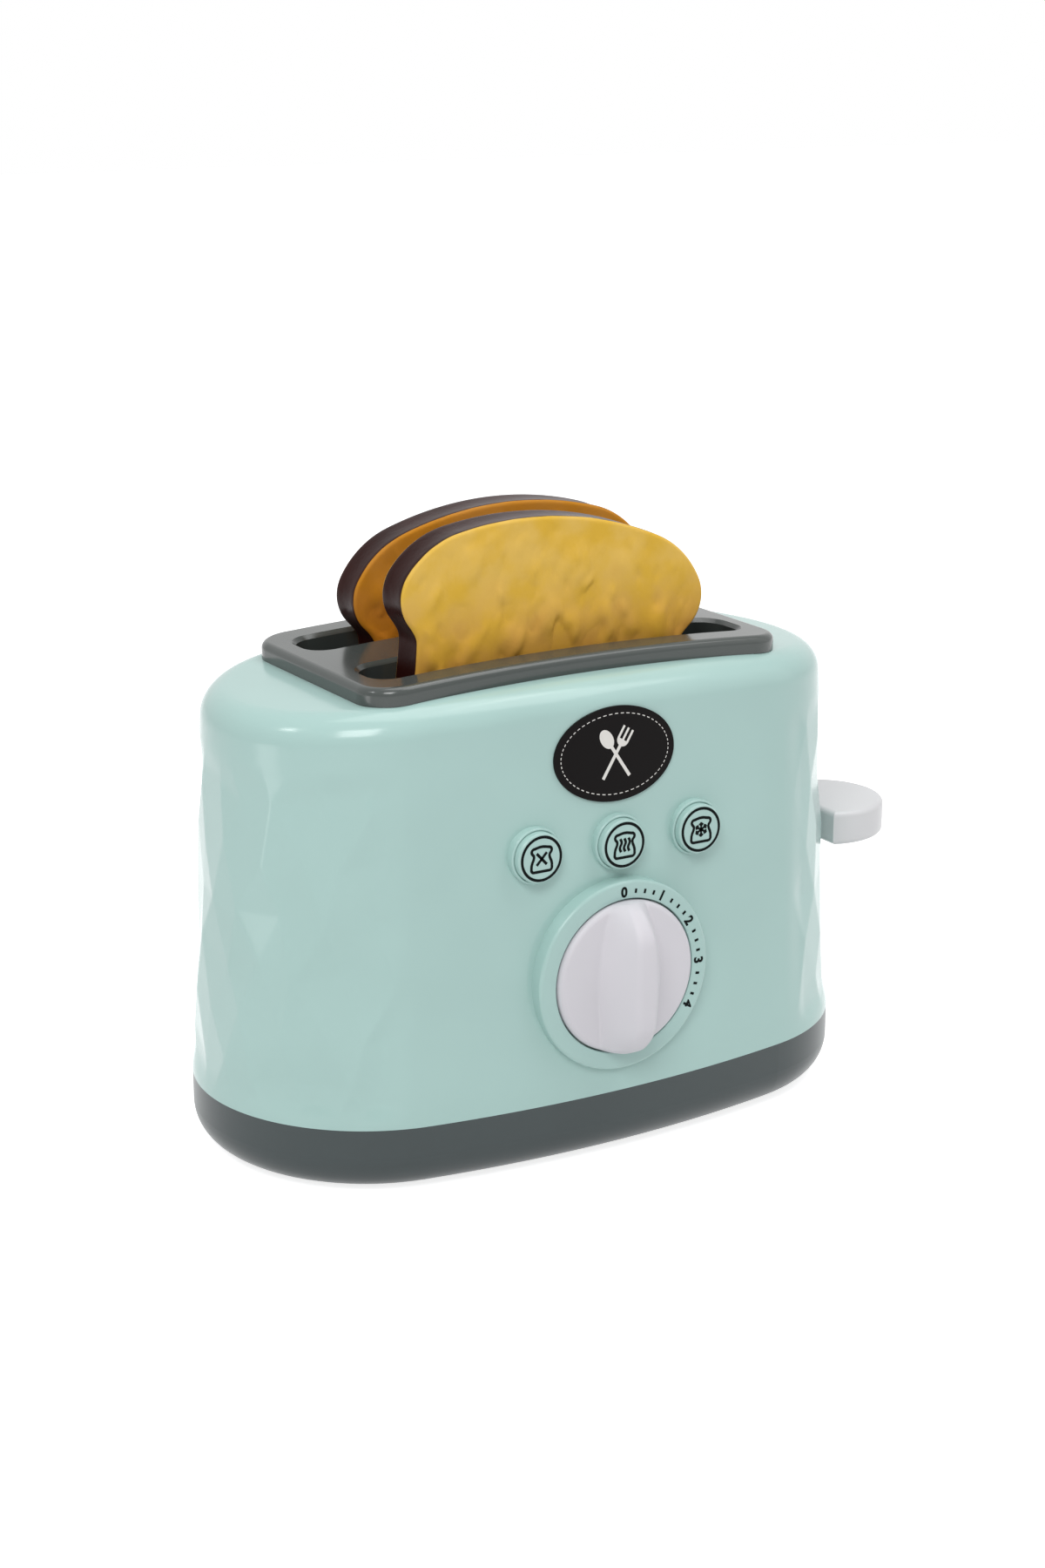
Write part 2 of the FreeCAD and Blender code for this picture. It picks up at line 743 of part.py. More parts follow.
tray_parts = [tray_dish, tray_lip]
tray_holes = []
foot_pads = []
base_screws = []
HEAD_SEAT = "(foot_drop + head_pocket_depth)"
for tag, (side_x, side_y) in CORNERS.items():
    x = f"{side_x} * tower_x"
    y = f"{side_y} * tower_y"
    tray_parts.append(rod(f"tower_{tag}", "tower_radius", f"({SEAM} - {FLOOR_TOP} + {WELD})", x, y,
                          f"({FLOOR_TOP} - {WELD})"))
    tray_holes.append(rod(f"tower_bore_{tag}", "(screw_radius + screw_gap)", f"({SEAM} + {OVER})", x, y, "0"))
    tray_holes.append(
        rod(f"head_pocket_{tag}", "(screw_head_radius + head_gap)", HEAD_SEAT, x, y, "0")
    )
    shank = rod(f"shank_{tag}", "screw_radius", f"({SEAM} + screw_bite - {HEAD_SEAT})", x, y, HEAD_SEAT)
    head = rod(
        f"head_{tag}", "screw_head_radius", "screw_head_height", x, y, f"({HEAD_SEAT} - screw_head_height)"
    )
    base_screws.append(fuse(f"base_screw_{tag}", [shank, head]))
    foot_x = f"{side_x} * foot_x"
    foot_y = f"{side_y} * foot_y"
    tray_holes.append(
        rod(f"foot_seat_{tag}", "(foot_radius + screw_gap)", "(foot_drop + foot_recess)", foot_x, foot_y, "0")
    )
    foot_pads.append(rod(f"foot_pad_{tag}", "foot_radius", "(foot_drop + foot_recess)", foot_x, foot_y, "0"))

guide_rods = []
for side in (-1, 1):
    tag = "left" if side < 0 else "right"
    x = f"{side} * rod_x"
    tray_parts.append(rod(f"rod_boss_{tag}", "rod_boss_radius", f"(rod_boss_height + {WELD})", x, 0,
                          f"({FLOOR_TOP} - {WELD})"))
    tray_holes.append(
        rod(f"rod_seat_{tag}", "(rod_radius + rod_seat_gap)", f"(rod_boss_height + {OVER})", x, 0, FLOOR_TOP)
    )
    guide_rods.append(
        rod(f"guide_rod_{tag}", "rod_radius", f"({ROD_TOP_LOW} + rod_top_engage - {FLOOR_TOP})",
            x, 0, FLOOR_TOP)
    )

tray_whole = fuse("tray_whole", tray_parts)
node(cut("base_tray_cut", tray_whole, fuse("tray_holes", tray_holes)), "base_tray")
node(group("foot_pad_set", foot_pads), "foot_pads")
node(group("base_screw_set", base_screws), "base_screws")
node(group("guide_rod_set", guide_rods), "guide_rods")

# ---- Top bezel with two bread chutes ----------------------------------------------------


def make_bezel():
    """A domed collar plate whose slots run down into two chutes."""
    body = new_body("bezel_body")
    plate_low = f"({CROWN} - peg_length)"
    outline = new_sketch(body, "bezel_outline", offset=plate_low)
    rounded_rectangle(outline, "(2 * bezel_half_length)", "(2 * bezel_half_depth)", "bezel_corner")
    pad(body, outline, f"(peg_length + bezel_height + {OVER})", "bezel_plate")
    above = new_sketch(body, "bezel_above", "XZ_Plane")
    arch(above, "(dome_radius + bezel_height)", f"({CROWN} + bezel_height)", f"(bezel_half_length + {OVER})",
         f"({CROWN} + 2 * bezel_height)")
    pocket_through(body, above, "bezel_crown")
    below = new_sketch(body, "bezel_below", "XZ_Plane")
    arch(below, "dome_radius", CROWN, f"(bezel_half_length + {OVER})", f"({CROWN} - 2 * peg_length)")
    seat = pocket_through(body, below, "bezel_seat")
    rim = number(f"{CROWN} + bezel_height / 2 - bezel_half_length * bezel_half_length / 2 / dome_radius")
    dress(body, "Fillet", "Radius", "bezel_edge_round", seat,
          lambda edge: within(edge, low=rim), "bezel_edge")
    chute_sketch = new_sketch(body, "chute_sketch", offset=f"({CROWN} - chute_drop)")
    slot_sketch = new_sketch(body, "slot_sketch", offset=f"({CROWN} + bezel_height + {OVER})")
    for side in (-1, 1):
        rounded_rectangle(
            chute_sketch, f"(2 * {SLOT_HALF_LENGTH} + 2 * chute_wall)",
            "(2 * slot_half_width + 2 * chute_wall)", "(slot_corner + chute_wall)",
            f"({side} * slot_offset)",
        )
        rounded_rectangle(
            slot_sketch, f"(2 * {SLOT_HALF_LENGTH})", "(2 * slot_half_width)", "slot_corner",
            f"({side} * slot_offset)",
        )
    pad(body, chute_sketch, f"(chute_drop + {WELD})", "chutes")
    slots = body.newObject("PartDesign::Pocket", "slots")
    slots.Profile = slot_sketch
    slots.Type = 1
    doc.recompute()
    low_x = number(f"{SLOT_HALF_LENGTH} + {WELD}")
    low_y = number(f"slot_offset - slot_half_width - {WELD}")
    high_y = number(f"slot_offset + slot_half_width + {WELD}")

    def on_rim(edge):
        box = edge.BoundBox
        inside = abs(box.XMin) < low_x and abs(box.XMax) < low_x
        near = min(abs(box.YMin), abs(box.YMax)) > low_y and max(abs(box.YMin), abs(box.YMax)) < high_y
        return inside and near and box.ZMin > number(CROWN) and not is_upright(edge)

    dress(body, "Chamfer", "Size", "slot_chamfer", slots, on_rim, "slot_rims")
    return body


bezel_parts = [make_bezel()]
for tag, (side_x, side_y) in CORNERS.items():
    x = f"{side_x} * peg_x"
    y = f"{side_y} * peg_y"
    peg_low = f"({CROWN} - peg_length)"
    bezel_parts.append(rod(f"peg_{tag}", "peg_radius", "peg_length", x, y, peg_low))
    bezel_parts.append(
        taper(f"peg_head_{tag}", "peg_tip_radius", "peg_head_radius", "peg_head_height", x, y, peg_low)
    )
node(fuse("bezel_fused", bezel_parts), "top_bezel")

# ---- Badge plate: an oval skin on the bowed front -------------------------------------------

badge_hull = hull("badge_hull", "(0 - badge_thickness)", SEAM, "(shoulder_round + badge_thickness)")
badge_rod = doc.addObject("Part::Ellipse", "badge_oval")
bind(badge_rod, "MajorRadius", "badge_half_length")
bind(badge_rod, "MinorRadius", f"(({BADGE_HIGH} - {BADGE_LOW}) / 2)")
badge_rod.Placement = Placement(Vector(), TURNS["-y"])
place(badge_rod, 0, "(badge_reach - seam_half_depth)", f"(({BADGE_LOW} + {BADGE_HIGH}) / 2)")
badge_prism = doc.addObject("Part::Extrusion", "badge_prism")
badge_prism.Base = badge_rod
badge_prism.Dir = Vector(0, -1, 0)
badge_prism.Solid = True
bind(badge_prism, "LengthFwd", f"(badge_reach + badge_thickness + {OVER})")
badge_skin = overlap("badge_skin", badge_prism, badge_hull)
node(cut("badge_cut", badge_skin, outer_hull), "badge_plate")

# ---- Wind-up timer, its shaft and the knob ------------------------------------------------


def make_timer_case():
    """A closed drum with three screw ears, bored for the shaft."""
    drum = round_bar("timer_drum", "case_radius", "case_depth", "+y", "case_round")
    place(drum, 0, f"-{CASE_FRONT}", "dial_height")
    parts = [drum]
    bores = [rod("case_bore", "(shaft_radius + shaft_fit)", f"(shaft_bite + {OVER})", 0,
                 f"-({CASE_FRONT} - shaft_bite)", "dial_height", "-y")]
    for angle in EAR_ANGLES:
        x, z = ear_place(angle)
        tag = f"{angle}".replace("-", "low_")
        parts.append(rod(f"ear_{tag}", "ear_radius", "ear_thickness", x, f"-{CASE_FRONT}", z, "+y"))
        web = block(f"ear_web_{tag}", "ear_circle", "ear_thickness", "(2 * ear_radius)", 0, 0, 0)
        web.Placement = Placement(Vector(), Rotation(Vector(0, 1, 0), -angle))
        turn = math.radians(angle)
        place(web, f"(ear_radius * {math.sin(turn):.6f})", f"-{CASE_FRONT}",
              f"(dial_height - ear_radius * {math.cos(turn):.6f})")
        parts.append(web)
        bores.append(
            rod(f"ear_bore_{tag}", "(small_screw_radius + screw_gap)", f"(ear_thickness + 2 * {OVER})",
                x, f"-({CASE_FRONT} - ear_thickness - {OVER})", z, "-y")
        )
    return cut("timer_case_cut", fuse("timer_case_whole", parts), fuse("timer_case_bores", bores))


node(make_timer_case(), "timer_case")

KNOB_BACK = "(recess_floor + knob_lift)"
KNOB_FACE = f"({KNOB_BACK} + knob_rim + knob_face)"
GRIP_TIP = f"({KNOB_FACE} + ridge_rise)"
SHAFT_TIP = f"({KNOB_BACK} + shaft_grip)"
shaft_round = rod(
    "shaft_round", "shaft_radius", f"({SHAFT_TIP} - {CASE_FRONT} + shaft_bite - shaft_end_gap)",
    0, f"-({CASE_FRONT} - shaft_bite + shaft_end_gap)", "dial_height", "-y",
)
flat_cut = block(
    "shaft_flat_cut", "(2 * shaft_radius)", f"(shaft_grip + {OVER})", "shaft_radius",
    "(0 - shaft_radius)", f"-({SHAFT_TIP} + {OVER})", "(dial_height + shaft_radius - shaft_flat)",
)
node(cut("knob_shaft_cut", shaft_round, flat_cut), "knob_shaft")


def make_knob():
    """A round cap with a raised grip bar across it and a D bore for the shaft."""
    cap = new_body("knob_cap")
    profile = new_sketch(cap, "knob_profile", "XY_Plane")
    radius = number("knob_radius")
    back = number(KNOB_BACK)
    rim = number(f"{KNOB_BACK} + knob_rim")
    face = number(KNOB_FACE)
    shoulder = number("(knob_radius - knob_face)")
    points = [(0, -back), (radius, -back), (radius, -rim), (shoulder, -face), (0, -face)]
    lines = []
    for start, end in zip(points, points[1:] + points[:1]):
        lines.append(profile.addGeometry(Part.LineSegment(Vector(*start, 0), Vector(*end, 0))))
    for one, other in zip(lines, lines[1:] + lines[:1]):
        profile.addConstraint(Sketcher.Constraint("Coincident", one, 2, other, 1))
    profile.addConstraint(Sketcher.Constraint("PointOnObject", lines[0], 1, -2))
    profile.addConstraint(Sketcher.Constraint("Horizontal", lines[0]))
    profile.addConstraint(Sketcher.Constraint("Vertical", lines[1]))
    profile.addConstraint(Sketcher.Constraint("Horizontal", lines[3]))
    profile.addConstraint(Sketcher.Constraint("Vertical", lines[4]))
    driven(profile, "knob_radius", "DistanceX", -1, 1, lines[0], 2)
    driven(profile, f"(0 - {KNOB_BACK})", "DistanceY", -1, 1, lines[0], 1)
    driven(profile, f"(0 - {KNOB_BACK} - knob_rim)", "DistanceY", -1, 1, lines[1], 2)
    driven(profile, f"(0 - {KNOB_FACE})", "DistanceY", -1, 1, lines[3], 1)
    driven(profile, "(knob_radius - knob_face)", "DistanceX", -1, 1, lines[3], 1)
    turned = cap.newObject("PartDesign::Revolution", "knob_turned")
    turned.Profile = profile
    turned.ReferenceAxis = (profile, ["V_Axis"])
    turned.Angle = 360
    place(cap, 0, 0, "dial_height")
    grip = new_body("knob_grip")
    section = new_sketch(grip, "grip_section", offset="(dial_height - knob_radius)")
    root = number(f"{KNOB_FACE} - {WELD}")
    tip = number(GRIP_TIP)
    root_x = number("ridge_half_width")
    tip_x = number("ridge_top_half_width")
    corners = [(-root_x, -root), (-tip_x, -tip), (tip_x, -tip), (root_x, -root)]
    sides = []
    for start, end in zip(corners, corners[1:] + corners[:1]):
        sides.append(section.addGeometry(Part.LineSegment(Vector(*start, 0), Vector(*end, 0))))
    for one, other in zip(sides, sides[1:] + sides[:1]):
        section.addConstraint(Sketcher.Constraint("Coincident", one, 2, other, 1))
    section.addConstraint(Sketcher.Constraint("Horizontal", sides[1]))
    section.addConstraint(Sketcher.Constraint("Horizontal", sides[3]))
    driven(section, "(0 - ridge_half_width)", "DistanceX", -1, 1, sides[0], 1)
    driven(section, f"({WELD} - {KNOB_FACE})", "DistanceY", -1, 1, sides[0], 1)
    driven(section, "(2 * ridge_half_width)", "DistanceX", sides[3], 2, sides[3], 1)
    driven(section, "(0 - ridge_top_half_width)", "DistanceX", -1, 1, sides[1], 1)
    driven(section, f"(0 - {GRIP_TIP})", "DistanceY", -1, 1, sides[1], 1)
    driven(section, "(2 * ridge_top_half_width)", "DistanceX", sides[1], 1, sides[1], 2)
    bar = pad(grip, section, "(2 * knob_radius)", "grip_bar")
    dress(grip, "Fillet", "Radius", "ridge_round", bar,
          lambda edge: is_upright(edge) and edge.BoundBox.YMax < NEAR - tip, "grip_round")
    trim = round_bar(
        "grip_trim", "(knob_radius - knob_face / 2)", f"({GRIP_TIP} - {KNOB_BACK})", "-y", "ridge_end_round"
    )
    place(trim, 0, f"(0 - {KNOB_BACK})", "dial_height")
    bar_trimmed = overlap("grip_trimmed", grip, trim)
    bore_round = rod("knob_bore_round", "(shaft_radius + shaft_fit)",
                     f"({SHAFT_TIP} - {KNOB_BACK} + shaft_end_gap + {OVER})", 0, f"-({KNOB_BACK} - {OVER})",
                     "dial_height", "-y")
    bore_flat = block(
        "knob_bore_flat", "(3 * shaft_radius)", f"(shaft_grip + shaft_end_gap + 3 * {OVER})",
        "(2 * shaft_radius)", "(0 - 1.5 * shaft_radius)", f"-({SHAFT_TIP} + shaft_end_gap + {OVER})",
        "(dial_height + shaft_radius - shaft_flat + shaft_fit)",
    )
    bore = cut("knob_bore", bore_round, bore_flat)
    return cut("timer_knob_cut", fuse("knob_whole", [cap, bar_trimmed]), bore)


node(make_knob(), "timer_knob")

# ---- Press buttons, their rubber domes and the plate behind them ----------------------------


def make_button(word, side):
    """A round cap with a crowned face and a flange that stops it behind the wall."""
    skin = button_surface(side)
    back = f"({skin} - wall - collar_inside)"
    body = new_body(f"button_cap_{word}")
    body.Placement = Placement(Vector(), TURNS["-y"])
    place(body, f"{side} * button_pitch", f"-({back} - button_flange)", BUTTON_HEIGHT)
    pad(body, disc_sketch(body, f"button_flange_disc_{word}", "button_flange_radius"), "button_flange",
        f"button_flange_pad_{word}")
    cap = pad(body, disc_sketch(body, f"button_cap_disc_{word}", "button_radius"),
              "(button_flange + collar_inside + wall + collar_proud + button_travel)", f"button_pad_{word}")
    top = number("button_flange + collar_inside + wall + collar_proud + button_travel")
    dress(body, "Fillet", "Radius", "button_crown", cap,
          lambda edge: edge.BoundBox.ZMin > top - NEAR and edge.Curve.TypeId == "Part::GeomCircle",
          f"button_crown_{word}")
    return body


def make_dome(word, side):
    """A hollow rubber dome between the button's flange and the plate."""
    back = f"({button_surface(side)} - wall - collar_inside - button_flange)"
    length = f"({back} - {PLATE_FRONT})"
    x = f"{side} * button_pitch"
    outside = taper(f"dome_out_{word}", "dome_base_radius", "dome_top_radius", length, x, f"-{PLATE_FRONT}",
                    BUTTON_HEIGHT, "-y")
    inside = taper(f"dome_in_{word}", "(dome_base_radius - dome_wall)", "(dome_top_radius - dome_wall)",
                   f"({length} - dome_wall)", x, f"-{PLATE_FRONT}", BUTTON_HEIGHT, "-y")
    return cut(f"dome_cut_{word}", outside, inside)


for word, side in BUTTONS.items():
    node(make_button(word, side), f"button_{word}")
    node(make_dome(word, side), f"button_dome_{word}")

plate_body = new_body("button_plate_body")
plate_body.Placement = Placement(Vector(), TURNS["+y"])
place(plate_body, 0, f"-{PLATE_FRONT}", BUTTON_HEIGHT)
plate_sketch = new_sketch(plate_body, "plate_sketch")
rounded_rectangle(plate_sketch, "(2 * plate_half_length)", "(2 * plate_half_height)", "plate_corner")
pad(plate_body, plate_sketch, "plate_thickness", "plate_pad")
plate_bores = []
inner_screws = []


def inner_screw(tag, x, y, z, grip):
    """A small screw driven from behind: y is the face that its shank enters."""
    shank = rod(f"small_shank_{tag}", "small_screw_radius", f"({grip} + small_screw_bite)", x,
                f"-({y} - {grip})", z, "-y")
    head = rod(f"small_head_{tag}", "small_head_radius", "small_head_height", x, f"-({y} - {grip})", z, "+y")
    return fuse(f"small_screw_{tag}", [shank, head])


for side in (-1, 1):
    tag = "plate_left" if side < 0 else "plate_right"
    x = f"{side} * plate_post_x"
    plate_bores.append(
        rod(f"{tag}_bore", "(small_screw_radius + screw_gap)", f"(plate_thickness + 2 * {OVER})",
            x, f"-({PLATE_FRONT} + {OVER})", BUTTON_HEIGHT, "+y")
    )
    inner_screws.append(inner_screw(tag, x, PLATE_FRONT, BUTTON_HEIGHT, "plate_thickness"))
for angle in EAR_ANGLES:
    x, z = ear_place(angle)
    inner_screws.append(inner_screw(f"ear_{angle}".replace("-", "low_"), x, CASE_FRONT, z, "ear_thickness"))
node(cut("button_plate_cut", plate_body, fuse("plate_bores", plate_bores)), "button_plate")
node(group("inner_screw_set", inner_screws), "inner_screws")

# ---- Carriage with two bread cradles ---------------------------------------------------------

carriage_parts = []
carriage_holes = []
for side in (-1, 1):
    tag = "front" if side < 0 else "rear"
    low_y = f"({side} * slot_offset - {CRADLE_HALF} - cradle_wall)"
    carriage_parts.append(
        block(f"cradle_{tag}", "(2 * cradle_half_length)", f"(2 * {CRADLE_HALF} + 2 * cradle_wall)",
              "(cradle_floor + cradle_rise)", "(0 - cradle_half_length)", low_y,
              "(cradle_floor_height - cradle_floor)")
    )
    carriage_holes.append(
        block(f"cradle_channel_{tag}", f"(2 * cradle_half_length + 2 * {OVER})", f"(2 * {CRADLE_HALF})",
              f"(cradle_rise + {OVER})", f"(0 - cradle_half_length - {OVER})",
              f"({side} * slot_offset - {CRADLE_HALF})", "cradle_floor_height")
    )
    for step in (-1, 0, 1):
        carriage_holes.append(
            block(f"crumb_window_{tag}_{step + 1}", "(2 * window_half_length)", "(2 * window_half_width)",
                  f"(cradle_floor + 2 * {OVER})", f"({step} * window_pitch - window_half_length)",
                  f"({side} * slot_offset - window_half_width)",
                  f"(cradle_floor_height - cradle_floor - {OVER})")
        )
CRADLE_EDGE = f"(slot_offset + {CRADLE_HALF} + cradle_wall)"
for side in (-1, 1):
    tag = "left" if side < 0 else "right"
    low_x = "bridge_from" if side > 0 else "(0 - bridge_to)"
    carriage_parts.append(
        block(f"bridge_{tag}", "(bridge_to - bridge_from)", f"(2 * {CRADLE_EDGE})", "bridge_depth",
              low_x, f"(0 - {CRADLE_EDGE})", "(cradle_floor_height - bridge_depth)")
    )
    neck_x = "bridge_from" if side > 0 else "(0 - rod_x)"
    carriage_parts.append(
        block(f"neck_{tag}", "(rod_x - bridge_from)", "(2 * bush_radius)", "(2 * bridge_depth)",
              neck_x, "(0 - bush_radius)", "(cradle_floor_height - 2 * bridge_depth)")
    )
    carriage_parts.append(rod(f"bush_{tag}", "bush_radius", "bush_length", f"{side} * rod_x", 0, BUSH_LOW))
    carriage_holes.append(
        rod(f"bush_bore_{tag}", "(rod_radius + rod_fit)", f"(bush_length + 2 * {OVER})",
            f"{side} * rod_x", 0, f"({BUSH_LOW} - {OVER})")
    )
SOCKET_HALF_Y = "(arm_thickness / 2 + socket_wall)"
carriage_parts.append(
    block("arm_socket", "(socket_end - rod_x - bush_radius / 2)", f"(2 * {SOCKET_HALF_Y})",
          "(arm_height + 2 * socket_wall)", "(rod_x + bush_radius / 2)", f"(0 - {SOCKET_HALF_Y})",
          BUSH_LOW)
)
carriage_holes.append(
    block("arm_pocket", f"(socket_end - arm_from + {OVER})", "arm_thickness", "arm_height", "arm_from",
          "(0 - arm_thickness / 2)", ARM_LOW)
)
ARM_SCREW_X = "((arm_from + socket_end) / 2)"
PADDLE_SCREW_X = "(paddle_inner_x + arm_into_paddle / 2)"
PADDLE_LOW = f"({ARM_LOW} + (arm_height - paddle_height) / 2)"
carriage_holes.append(
    rod("arm_screw_bore", "(lever_screw_radius + screw_gap)", f"(socket_wall + {OVER})", ARM_SCREW_X, 0,
        f"({BUSH_LOW} - {OVER})")
)
carriage_whole = fuse("carriage_whole", carriage_parts)
node(cut("carriage_cut", carriage_whole, fuse("carriage_holes", carriage_holes)), "carriage")

# ---- Lever: arm, paddle and their two screws ---------------------------------------------------

arm_bar = block("arm_bar", "(paddle_inner_x + arm_into_paddle - arm_from)", "arm_thickness", "arm_height",
                "arm_from", "(0 - arm_thickness / 2)", ARM_LOW)
arm_bores = [
    rod(f"arm_bore_{tag}", "(lever_screw_radius + screw_gap)",
        f"(lever_screw_bite + pilot_spare + {OVER})", x, 0, f"({ARM_LOW} - {OVER})")
    for tag, x in (("inner", ARM_SCREW_X), ("outer", PADDLE_SCREW_X))
]
node(cut("lever_arm_cut", arm_bar, fuse("arm_bores", arm_bores)), "lever_arm")


def make_paddle():
    """A round, thick thumb paddle with its housing side cut straight."""
    body = new_body("paddle_body")
    sketch = new_sketch(body, "paddle_plan", offset=PADDLE_LOW)
    middle = number("paddle_middle_x")
    radius = number("paddle_radius")
    flat = number("paddle_inner_x")
    half = math.acos((flat - middle) / radius)
    reach = radius * math.sin(half)
    rim = arc(sketch, (middle, 0), radius, -half, half)
    side = sketch.addGeometry(Part.LineSegment(Vector(flat, reach, 0), Vector(flat, -reach, 0)))
    sketch.addConstraint(Sketcher.Constraint("Coincident", rim, 2, side, 1))
    sketch.addConstraint(Sketcher.Constraint("Coincident", side, 2, rim, 1))
    sketch.addConstraint(Sketcher.Constraint("Vertical", side))
    sketch.addConstraint(Sketcher.Constraint("PointOnObject", rim, 3, -1))
    driven(sketch, "paddle_radius", "Radius", rim)
    driven(sketch, "paddle_middle_x", "DistanceX", -1, 1, rim, 3)
    driven(sketch, "paddle_inner_x", "DistanceX", -1, 1, side, 1)
    slab = pad(body, sketch, "paddle_height", "paddle_pad")
    dress(body, "Fillet", "Radius", "paddle_round", slab, lambda edge: not is_upright(edge), "paddle_edges")
    return body


HEAD_TOP = f"({ARM_LOW} - lever_web)"
paddle_holes = [
    block("paddle_pocket", f"(arm_into_paddle + {OVER})", "arm_thickness", "arm_height",
          f"(paddle_inner_x - {OVER})",
          "(0 - arm_thickness / 2)", ARM_LOW),
    rod("paddle_screw_bore", "(lever_screw_radius + screw_gap)", f"(lever_web + 2 * {OVER})", PADDLE_SCREW_X,
        0, f"({HEAD_TOP} - {OVER})"),
    rod("paddle_head_seat", "(lever_head_radius + screw_gap)", f"({HEAD_TOP} - {PADDLE_LOW} + {OVER})",
        PADDLE_SCREW_X, 0, f"({PADDLE_LOW} - {OVER})"),
]
node(cut("lever_paddle_cut", make_paddle(), fuse("paddle_holes", paddle_holes)), "lever_paddle")

lever_screws = []
for tag, x, seat in (("inner", ARM_SCREW_X, BUSH_LOW), ("outer", PADDLE_SCREW_X, HEAD_TOP)):
    shank = rod(
        f"lever_shank_{tag}", "lever_screw_radius", f"({ARM_LOW} + lever_screw_bite - {seat})", x, 0, seat
    )
    head = rod(
        f"lever_head_{tag}", "lever_head_radius", "lever_head_height", x, 0, f"({seat} - lever_head_height)"
    )
    lever_screws.append(fuse(f"lever_screw_{tag}", [shank, head]))
node(group("lever_screw_set", lever_screws), "lever_screws")

# ---- Return springs round the guide rods -----------------------------------------------------

WIRE_SIDES = 8


def make_spring(tag, side):
    """A compression spring from the tray's rod boss up to the carriage bush.

    The coil is led along short straight steps and its wire is eight-sided, which keeps a
    hidden part light.
    """
    low = number(f"{FLOOR_TOP} + rod_boss_height")
    high = number(BUSH_LOW)
    wire = number("spring_wire_radius")
    radius = number("spring_radius")
    length = high - low - 2 * wire
    steps = round(number("spring_turns") * number("spring_turn_steps"))
    points = []
    for step in range(steps + 1):
        turn = 2 * math.pi * step / number("spring_turn_steps")
        points.append(Vector(radius * math.cos(turn), radius * math.sin(turn), length * step / steps))
    along = (points[1] - points[0]).normalize()
    outward = Vector(1, 0, 0)
    upward = along.cross(outward).normalize()
    outward = upward.cross(along)
    corners = []
    for corner in range(WIRE_SIDES + 1):
        turn = 2 * math.pi * corner / WIRE_SIDES
        corners.append(points[0] + outward * wire * math.cos(turn) + upward * wire * math.sin(turn))
    coil = Part.makePolygon(points).makePipeShell([Part.makePolygon(corners)], True, False, 1)
    spring = doc.addObject("Part::Feature", f"spring_{tag}")
    spring.Shape = coil
    spring.Placement = Placement(Vector(side * number("rod_x"), 0, low + wire), Rotation())
    return spring


node(make_spring("left", -1), "return_spring_left")
node(make_spring("right", 1), "return_spring_right")

# ---- Toy bread slices ----------------------------------------------------------------------


def make_slice(tag, side, shift, tilt):
    """A thick slice with two bulging shoulders over a narrower waist.

    The sketch's origin is level with the middle of the bulges. The slice leans in its
    own plane and its lowest corner rests on the cradle floor.
    """
    body = new_body(f"slice_{tag}_body")
    sketch = new_sketch(body, f"slice_{tag}_outline", "XY_Plane")
    bulge = number("bulge_radius")
    middle = number("bulge_middle_x")
    top = number("bread_top")
    half = number("slice_half_width")
    foot = number("slice_drop")
    corner = number("slice_foot_round")
    shoulder = number("shoulder_radius")
    arch_radius = number("bread_arch_radius")
    # The shoulder arc touches the arch above it and the bulge beside it from inside.
    reach = math.hypot(middle, arch_radius - top)
    inner = arch_radius - shoulder
    outer = shoulder - bulge
    spread = math.acos((inner ** 2 + reach ** 2 - outer ** 2) / (2 * inner * reach))
    join = math.atan2(arch_radius - top, middle) + spread
    shoulder_x = inner * math.cos(join)
    shoulder_y = top - arch_radius + inner * math.sin(join)
    meet = math.atan2(-shoulder_y, middle - shoulder_x)
    waist_x = number("waist_half_width")
    waist_y = -number("waist_drop")
    under = -math.radians(number("bulge_tuck_angle"))
    tuck = (middle + bulge * math.cos(under), bulge * math.sin(under))
    hip_y = waist_y - number("hip_drop")
    arc(sketch, (0, top - arch_radius), arch_radius, join, math.pi - join)
    for flip in (1, -1):
        start, end = (meet, join) if flip > 0 else (math.pi - join, math.pi - meet)
        arc(sketch, (flip * shoulder_x, shoulder_y), shoulder, start, end)
        start, end = (under, meet) if flip > 0 else (math.pi - meet, math.pi - under)
        arc(sketch, (flip * middle, 0), bulge, start, end)
        corners = [tuck, (waist_x, waist_y), (half, hip_y), (half, corner - foot)]
        for one, other in zip(corners, corners[1:]):
            sketch.addGeometry(
                Part.LineSegment(Vector(flip * one[0], one[1], 0), Vector(flip * other[0], other[1], 0))
            )
        turn = (-math.pi / 2, 0) if flip > 0 else (math.pi, 3 * math.pi / 2)
        arc(sketch, (flip * (half - corner), corner - foot), corner, *turn)
    sketch.addGeometry(Part.LineSegment(Vector(corner - half, -foot, 0), Vector(half - corner, -foot, 0)))
    slab = pad(body, sketch, "slice_thickness", f"slice_{tag}_pad")
    depth = number("slice_thickness")
    dress(body, "Fillet", "Radius", "slice_edge_round", slab,
          lambda edge: ends_at(edge, 0) or ends_at(edge, depth), f"slice_{tag}_edges")
    lean = math.radians(number(tilt))
    lowest = abs(math.sin(lean)) * (half - corner) + math.cos(lean) * (foot - corner) + corner
    upright = Rotation(Vector(1, 0, 0), 90)
    body.Placement = Placement(Vector(), Rotation(Vector(0, 1, 0), number(tilt)) * upright)
    bind(body, "Placement.Base.x", shift)
    bind(body, "Placement.Base.y", f"({side} * slot_offset + slice_thickness / 2)")
    bind(body, "Placement.Base.z", f"(cradle_floor_height + slice_seat_gap + {lowest:.6f})")
    return body


node(make_slice("front", -1, "(0 - front_slice_shift)", "front_slice_tilt"), "slice_front")
node(make_slice("rear", 1, "rear_slice_shift", "(0 - rear_slice_tilt)"), "slice_rear")

